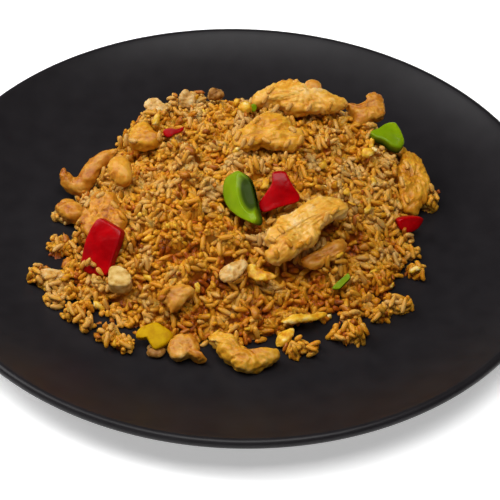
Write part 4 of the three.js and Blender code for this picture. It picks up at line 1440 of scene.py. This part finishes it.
def lay_seen(px_a, py_a, px_b, py_b, tilt=0.0):
    """Drops a grain whose two ends the photograph shows."""
    for level in np.arange(SIGHT_TOP, WELL_TOP, -SIGHT_STEP):
        a = seen_at(px_a, py_a, level)
        b = seen_at(px_b, py_b, level)
        x, y = (a + b)[:2] / 2
        i, j = int((x + HALF_SIDE) / CELL), int((y + HALF_SIDE) / CELL)
        if level <= max(map_pile[i, j], map_floor[i, j]) + GRAIN_WIDTH / 2:
            break
    half = (min(max(np.linalg.norm(b - a), SHORTEST), LONGEST) / 2, GRAIN_WIDTH / 2)
    run = settle(x, y, math.atan2(b[1] - a[1], b[0] - a[0]), half, math.radians(tilt))
    centre, here, covers, top = fall(x, y, half, run)
    map_pile[here] = np.where(covers, np.maximum(map_pile[here], top), map_pile[here])
    return (x, y, centre, *run, *half)


grains += [lay_seen(*pixels) for pixels in SINGLE_GRAINS]
print("grains in all:", len(grains))

# %% [markdown]
# Scrambled egg also breaks into flecks, and crumbs of browned crust stick to the rice. They are
# one to three millimetres in half length and drop on the finished pile.

# %% Drop flecks and crumbs
FLECK_TRIES = 420


def fleck_size():
    """Half the length and half the width of one fleck or crumb."""
    length = draw.uniform(1.1, 2.8)
    return length, max(0.6, length * draw.uniform(0.4, 0.7))


egg_flecks = drop(FLECK_TRIES, open_roof + 1.2, may_lie, fleck_size)
crumbs = drop(FLECK_TRIES, open_roof + 1.0, may_lie, fleck_size)
print("egg flecks:", len(egg_flecks), "crumbs:", len(crumbs))

# %% [markdown]
# ## The rice core
# Between the grains of the surface lies more rice, glued by egg, starch and sauce. One closed
# core stands for it, so no light shines through the heap. Its top is the height map of the
# finished pile. The lowest height nearby is taken first, which keeps it behind the grains on
# steep walls too, and then it is blurred a little and sunk. Cells with only a thin layer of rice
# get no core, or it would show as a skin on the plate.

# %% Height of the core
CORE_SINK = 0.45
CORE_BLUR = 0.7
CORE_LEAST = 1.6


def map_value(heights, x, y):
    """The map's value at any place, blended from the four cells about it."""
    u = (x + HALF_SIDE) / CELL - 0.5
    v = (y + HALF_SIDE) / CELL - 0.5
    i = np.floor(u).astype(int)
    j = np.floor(v).astype(int)
    u = u - i
    v = v - j
    near = heights[i, j] * (1 - v) + heights[i, j + 1] * v
    far = heights[i + 1, j] * (1 - v) + heights[i + 1, j + 1] * v
    return near * (1 - u) + far * u


def lowest_near(heights, reach):
    """The lowest value within that many cells, so that steep walls move inwards as well."""
    low = heights.copy()
    for i in range(-reach, reach + 1):
        for j in range(-reach, reach + 1):
            if i * i + j * j <= reach * reach + 1:
                low = np.minimum(low, np.roll(heights, (i, j), (0, 1)))
    return low


rice_top = np.where(map_over > 0, map_bed, map_pile)
map_core = blurred(lowest_near(rice_top, 2), CORE_BLUR) - CORE_SINK
filled = lowest_near((map_core > WELL_TOP + CORE_LEAST) * 1.0, 3)
filled = -lowest_near(-filled, 3)
map_core = np.where(filled > 0, map_core, WELL_TOP - 0.6)
print("highest core:", round(float(map_core.max()), 1))

# %% [markdown]
# Rings of points round the middle take their height from the map. All have the same reach in
# every direction, and where there is no rice they lie just under the plate's surface, where
# nobody sees them. The core's tone holds painted light and shade: it is lower than the grains',
# for the glued rice and as painted shade between the grains, lighter towards the back, darker to
# the right, and darker where it lies deep in a gap.

# %% Core
CORE_RINGS = 125
CORE_SIDES = 540
CORE_GRAIN = 0.8
CORE_GRAIN_SIZE = 1.9
CORE_TONE = 0.42
CORE_PAINTED_LIGHT_TO_BACK = 0.0018
CORE_PAINTED_SHADE_TO_RIGHT = -0.0009
CORE_PAINTED_GAP_SHADE = 0.1
GAP_BLUR = 5.0


def rice_reach(turn):
    """How far the rice really reaches in each direction."""
    radius = np.arange(60.0, 96.0, 0.5)
    x = radius[:, None] * np.cos(turn)
    y = radius[:, None] * np.sin(turn)
    covered = map_value(map_core, x, y) > WELL_TOP + 1.2
    covered &= radius[:, None] < heap_reach(np.cos(turn), np.sin(turn)) + 2.0
    return (radius[:, None] * covered).max(0)


def make_core():
    """Points, faces and tones of the core."""
    part = np.arange(1, CORE_RINGS + 1) / CORE_RINGS
    turn = np.arange(CORE_SIDES) * 2 * math.pi / CORE_SIDES
    radius = part[:, None] * rice_reach(turn).max()
    x = radius * np.cos(turn)
    y = radius * np.sin(turn)
    flat = np.stack([x.ravel(), y.ravel(), np.zeros(x.size)], 1)
    relief = CORE_GRAIN * rough(flat, CORE_GRAIN_SIZE, 61)
    z = map_value(map_core, x, y) + relief.reshape(x.shape)
    z = np.where(z > WELL_TOP + 1.4, z, WELL_TOP - 0.1)
    z[-1] = WELL_TOP - 0.15
    body = np.stack([x, y, z], 2).reshape(-1, 3)
    middle = float(map_value(map_core, np.zeros(1), np.zeros(1))[0])
    points = np.concatenate([[[0.0, 0.0, middle]], body, [[0.0, 0.0, WELL_TOP - 0.15]]])
    # Painted light and shade: a lower tone than the grains', lighter towards the back, darker to
    # the right.
    tone = CORE_TONE + CORE_PAINTED_LIGHT_TO_BACK * points[:, 1] + CORE_PAINTED_SHADE_TO_RIGHT * points[:, 0]
    low_by = map_value(blurred(rice_top, GAP_BLUR), points[:, 0], points[:, 1]) - points[:, 2]
    # Painted shade: darker where the core lies deep in a gap.
    tone -= CORE_PAINTED_GAP_SHADE * np.clip(low_by - 1.5, 0, 6)
    return points, outward(points, ring_faces(CORE_RINGS, CORE_SIDES)), tone


# %% [markdown]
# Rice fried with soy and egg is a cream grain under a thin brown film: glossy with oil, paler
# where the film is thin, amber where it pools. Light enters the grain, which is why the
# shadows between grains glow red-brown. Each grain has its own tone, and patches of about a
# centimetre took more or less sauce. The core has the same finish, so it passes for more rice.

# %% Rice finish


def oiled_fried_rice():
    """The finish of all the rice, driven by the tone of each grain."""
    finish, tree, shader, place = new_finish("oiled_fried_rice")
    tone = add_node(tree, "Attribute", attribute_name="tone").outputs["Fac"]
    patch = mottle(tree, place, 9, 3.0)
    film = mottle(tree, place, 2.2, 3.0)
    shade = times_plus(tree, film, 0.35, times_plus(tree, patch, 2.8, tone))
    end_finish(tree, shader, {
        "Base Color": ramped(tree, shade, 1.0, 2.8, [
            (0.0, "#5a1c00"), (0.28, "#a85408"), (0.46, "#c68214"), (0.66, "#cc9024"),
            (1.0, "#c89c56")]),
        "Normal": bumped(tree, film, 0.1, 0.2),
    }, {
        "Roughness": 0.45,
        "IOR": 1.45,
        "Specular IOR Level": 0.28,
        "Subsurface Weight": 0.55,
        "Subsurface Radius": (1.0, 0.8, 0.55),
        "Subsurface Scale": 1.5 * MM,
    })
    return finish


rice_finish = oiled_fried_rice()
points, faces, tone = make_core()
make_piece("rice_core", points, faces, rice_finish, ["rice_heap"], {"tone": tone})
print("core triangles:", len(faces))

# %% [markdown]
# ## Grain meshes
# Every grain is a real closed mesh: a slim spindle with blunt ends, slightly bent. There are
# eight variants of it, each with its own bluntness, bend, taper and twist and a little noise.

# %% Grain variants
GRAIN_SIDES = 7
GRAIN_RINGS = 6


def grain_variant(blunt, bend, taper, twist):
    """One grain of length 2 and width 2 about its middle, along x."""
    t = -np.cos(math.pi * np.arange(1, GRAIN_RINGS + 1) / (GRAIN_RINGS + 1))
    radius = (1 - np.abs(t) ** blunt) ** 0.5 * (1 - taper * t)
    angle = np.arange(GRAIN_SIDES) * 2 * math.pi / GRAIN_SIDES + twist
    x = np.repeat(t, GRAIN_SIDES)
    y = (radius[:, None] * np.cos(angle)).ravel() + bend * (x ** 2 - 0.4)
    z = (radius[:, None] * np.sin(angle)).ravel() * 0.9
    tip = bend * 0.6
    body = np.stack([x, y, z], 1)
    return np.concatenate([[[-1.0, tip, 0.0]], body, [[1.0, tip, 0.0]]])


VARIANTS = np.stack([
    grain_variant(3.2, 0.10, 0.06, 0.0), grain_variant(4.2, -0.25, 0.0, 0.3),
    grain_variant(3.0, 0.35, 0.12, 0.5), grain_variant(5.0, 0.0, -0.08, 0.1),
    grain_variant(3.6, 0.5, 0.05, 0.7), grain_variant(2.8, 0.15, 0.18, 0.2),
    grain_variant(4.4, 0.25, 0.02, 0.6), grain_variant(3.0, -0.4, -0.1, 0.4),
])
uneven = [1 + 0.28 * rough(shape * (3.5, 1, 1), 1.4, 320 + i) for i, shape in enumerate(VARIANTS)]
VARIANTS[:, :, 1:] *= np.stack(uneven)[:, :, None]
GRAIN_FACES = outward(VARIANTS[0], ring_faces(GRAIN_RINGS, GRAIN_SIDES))
print("triangles of a grain:", len(GRAIN_FACES))

# %% [markdown]
# The variants are turned, scaled and placed by array arithmetic, which is thousands of times
# faster than one object per grain, and joined to one piece for each kind of rice.

# %% Many grains in one mesh


def grain_mesh(rows, variants):
    """Points and faces of many grains, from rows of place, direction and half sizes."""
    rows = np.asarray(rows)
    count = len(rows)
    run = rows[:, 3:6]
    side = np.cross([0.0, 0.0, 1.0], run)
    side /= np.linalg.norm(side, axis=1)[:, None]
    rise = np.cross(run, side)
    roll = draw.random(count) * 2 * math.pi
    cos, sin = np.cos(roll)[:, None], np.sin(roll)[:, None]
    axes = np.stack([run, side * cos + rise * sin, rise * cos - side * sin], 1)
    shape = variants[draw.integers(len(variants), size=count)]
    scale = np.stack([rows[:, 6], rows[:, 7], rows[:, 7]], 1)[:, None, :]
    points = np.einsum("nvk,nkc->nvc", shape * scale, axes) + rows[:, None, :3]
    verts = variants.shape[1]
    faces = GRAIN_FACES[None] + (np.arange(count) * verts)[:, None, None]
    return points.reshape(-1, 3), faces.reshape(-1, 3)


# %% [markdown]
# A grain that the core covers is left out. The rest get a tone: some of it by chance, some
# because their whole clump took more sauce, and some painted light and shade: paler towards
# the back, darker to the right, and darker for grains that lie deep in a gap. Single grains
# count as lying high, so the painted gap shade makes them paler. By their tone they are sorted
# into four kinds of rice.

# %% Grains of the heap
KINDS = {"rice_brown": (-1, 0.45), "rice_amber": (0.45, 0.58), "rice_golden": (0.58, 0.7),
         "rice_pale": (0.7, 2)}
TONE_MIDDLE = 0.61
TONE_BY_CHANCE = 0.26
TONE_BY_CLUMP = 0.3
PAINTED_GAP_SHADE = 0.11
PAINTED_LIGHT_TO_BACK = 0.0026
PAINTED_SHADE_TO_RIGHT = -0.0009
SINGLE_LOW_BY = -1.5


def in_sight(row):
    """Whether any of a grain comes out of the core."""
    x, y, z, run_x, run_y, run_z, half_length, half_width = row
    for part in (-0.7, 0.0, 0.7):
        walk = part * half_length
        i = int((x + walk * run_x + HALF_SIDE) / CELL)
        j = int((y + walk * run_y + HALF_SIDE) / CELL)
        if z + walk * run_z + half_width > map_core[i, j] + 0.2:
            return True
    return False


rows = np.array(grains)
low_by = map_value(blurred(rice_top, GAP_BLUR), rows[:, 0], rows[:, 1]) - rows[:, 2]
# Single grains count as lying high, so the painted gap shade makes them paler.
low_by[-len(SINGLE_GRAINS):] = SINGLE_LOW_BY
shown = np.array([in_sight(row) for row in rows])
rows, low_by = rows[shown], low_by[shown]
tones = TONE_MIDDLE + TONE_BY_CHANCE * (draw.beta(3.0, 3.0, len(rows)) - 0.5)
tones += TONE_BY_CLUMP * map_value(map_clump, rows[:, 0], rows[:, 1])
# Painted light and shade: paler towards the back, darker to the right.
tones += PAINTED_LIGHT_TO_BACK * rows[:, 1] + PAINTED_SHADE_TO_RIGHT * rows[:, 0]
# Painted shade: grains that lie deep in a gap are darker.
tones -= PAINTED_GAP_SHADE * np.clip(low_by - 1.0, -3, 6)
tones = np.clip(tones, 0, 1)
for name, (low, high) in KINDS.items():
    chosen = (tones >= low) & (tones < high)
    points, faces = grain_mesh(rows[chosen], VARIANTS)
    tone = np.repeat(tones[chosen], VARIANTS.shape[1])
    make_piece(name, points, faces, rice_finish, ["rice_heap"], {"tone": tone})
    print(name, "grains:", int(chosen.sum()), "triangles:", len(faces))

# %% [markdown]
# Flecks of egg and crumbs of crust are the same small mesh as a grain with its points knocked
# about, so no two sides are alike. They take the finishes of the egg and the browned meat.

# %% Flecks and crumbs
FLECK_VARIANTS = np.stack([
    VARIANTS[i] * (1 + 0.6 * rough(VARIANTS[i] * 3, 2.0, 300 + i))[:, None]
    for i in range(len(VARIANTS))
])
for name, fleck_rows, finish in (("egg_flecks", egg_flecks, set_egg),
                                 ("brown_crumbs", crumbs, brown_meat)):
    points, faces = grain_mesh(fleck_rows, FLECK_VARIANTS)
    lift = np.repeat(draw.normal(-0.6, 0.5, len(fleck_rows)), VARIANTS.shape[1])
    make_piece(name, points, faces, finish, ["rice_heap"], {"lift": lift})
    print(name, len(fleck_rows), "triangles:", len(faces))

# %% [markdown]
# ## Floor and light
# The plate stands on a plain white table, as in a product photograph. A large flat sheet with
# a matt near-white finish is all it takes. A little light of its own keeps it clean and white.

# %% Floor


def make_floor():
    """The table, which is stage and no part of the model."""
    mesh = bpy.data.meshes.new("table")
    side = 4.0
    mesh.from_pydata([(-side, -side, 0), (side, -side, 0), (side, side, 0), (-side, side, 0)],
                     [], [(0, 1, 2, 3)])
    floor = bpy.data.objects.new("table", mesh)
    bpy.context.scene.collection.objects.link(floor)
    finish, tree, shader, place = new_finish("white_table")
    grey = add_node(tree, "TexNoise", {"Vector": place, "Scale": 1.5})
    tint = add_node(tree, "ValToRGB", {"Fac": grey.outputs["Fac"]},
                    ramp=[(0.0, "#fbfbfb"), (1.0, "#ffffff")])
    end_finish(tree, shader, {"Base Color": tint.outputs["Color"]}, {
        "Roughness": 0.9,
        "Emission Color": linear("#ffffff"),
        "Emission Strength": 0.4,
    })
    mesh.materials.append(finish)
    return floor


print("table in metres:", make_floor().dimensions.x)

# %% [markdown]
# One softbox hangs overhead, slightly towards the camera, and a second one stands high on the
# left, so the heap's lumps have a light and a dark side. A weak one in front opens the shadows.
# The room is dark above and light at table height, so the satin plate mirrors almost nothing
# but shows a soft line of light along its lip.

# %% Lights


def softbox(name, place, aim, width, depth, power):
    """A rectangular lamp of that size in metres and power in watts."""
    data = bpy.data.lights.new(name, "AREA")
    data.shape = "RECTANGLE"
    data.size = width
    data.size_y = depth
    data.energy = power
    lamp = bpy.data.objects.new(name, data)
    bpy.context.scene.collection.objects.link(lamp)
    lamp.location = place
    lamp.rotation_euler = (Vector(aim) - Vector(place)).to_track_quat("-Z", "Y").to_euler()
    return lamp


PLATE_MIDDLE = (0, 0, 0)
softbox("overhead_softbox", (0.02, -0.22, 1.0), PLATE_MIDDLE, 0.75, 0.6, 8.6)
softbox("left_softbox", (-0.72, 0.15, 0.78), PLATE_MIDDLE, 0.65, 0.65, 8.0)
softbox("front_fill", (-0.4, -1.4, 0.8), PLATE_MIDDLE, 1.0, 0.7, 1.2)


def studio_room():
    """The light of the room, by height: 0 is level with the table."""
    world = bpy.data.worlds.new("studio_room")
    bpy.context.scene.world = world
    world.use_nodes = True
    tree = world.node_tree
    way = add_node(tree, "TexCoord").outputs["Generated"]
    height = add_node(tree, "SeparateXYZ", {"Vector": way}).outputs["Z"]
    level = add_node(tree, "MapRange", {
        "Value": height, "From Min": 0.03, "From Max": 0.3})
    tint = add_node(tree, "ValToRGB", {"Fac": level.outputs["Result"]},
                    ramp=[(0.0, "#a8a6a4"), (1.0, "#262526")])
    sky = tree.nodes["Background"]
    tree.links.new(tint.outputs["Color"], sky.inputs["Color"])
    sky.inputs["Strength"].default_value = 0.9


studio_room()
bpy.context.scene.view_settings.view_transform = "Standard"
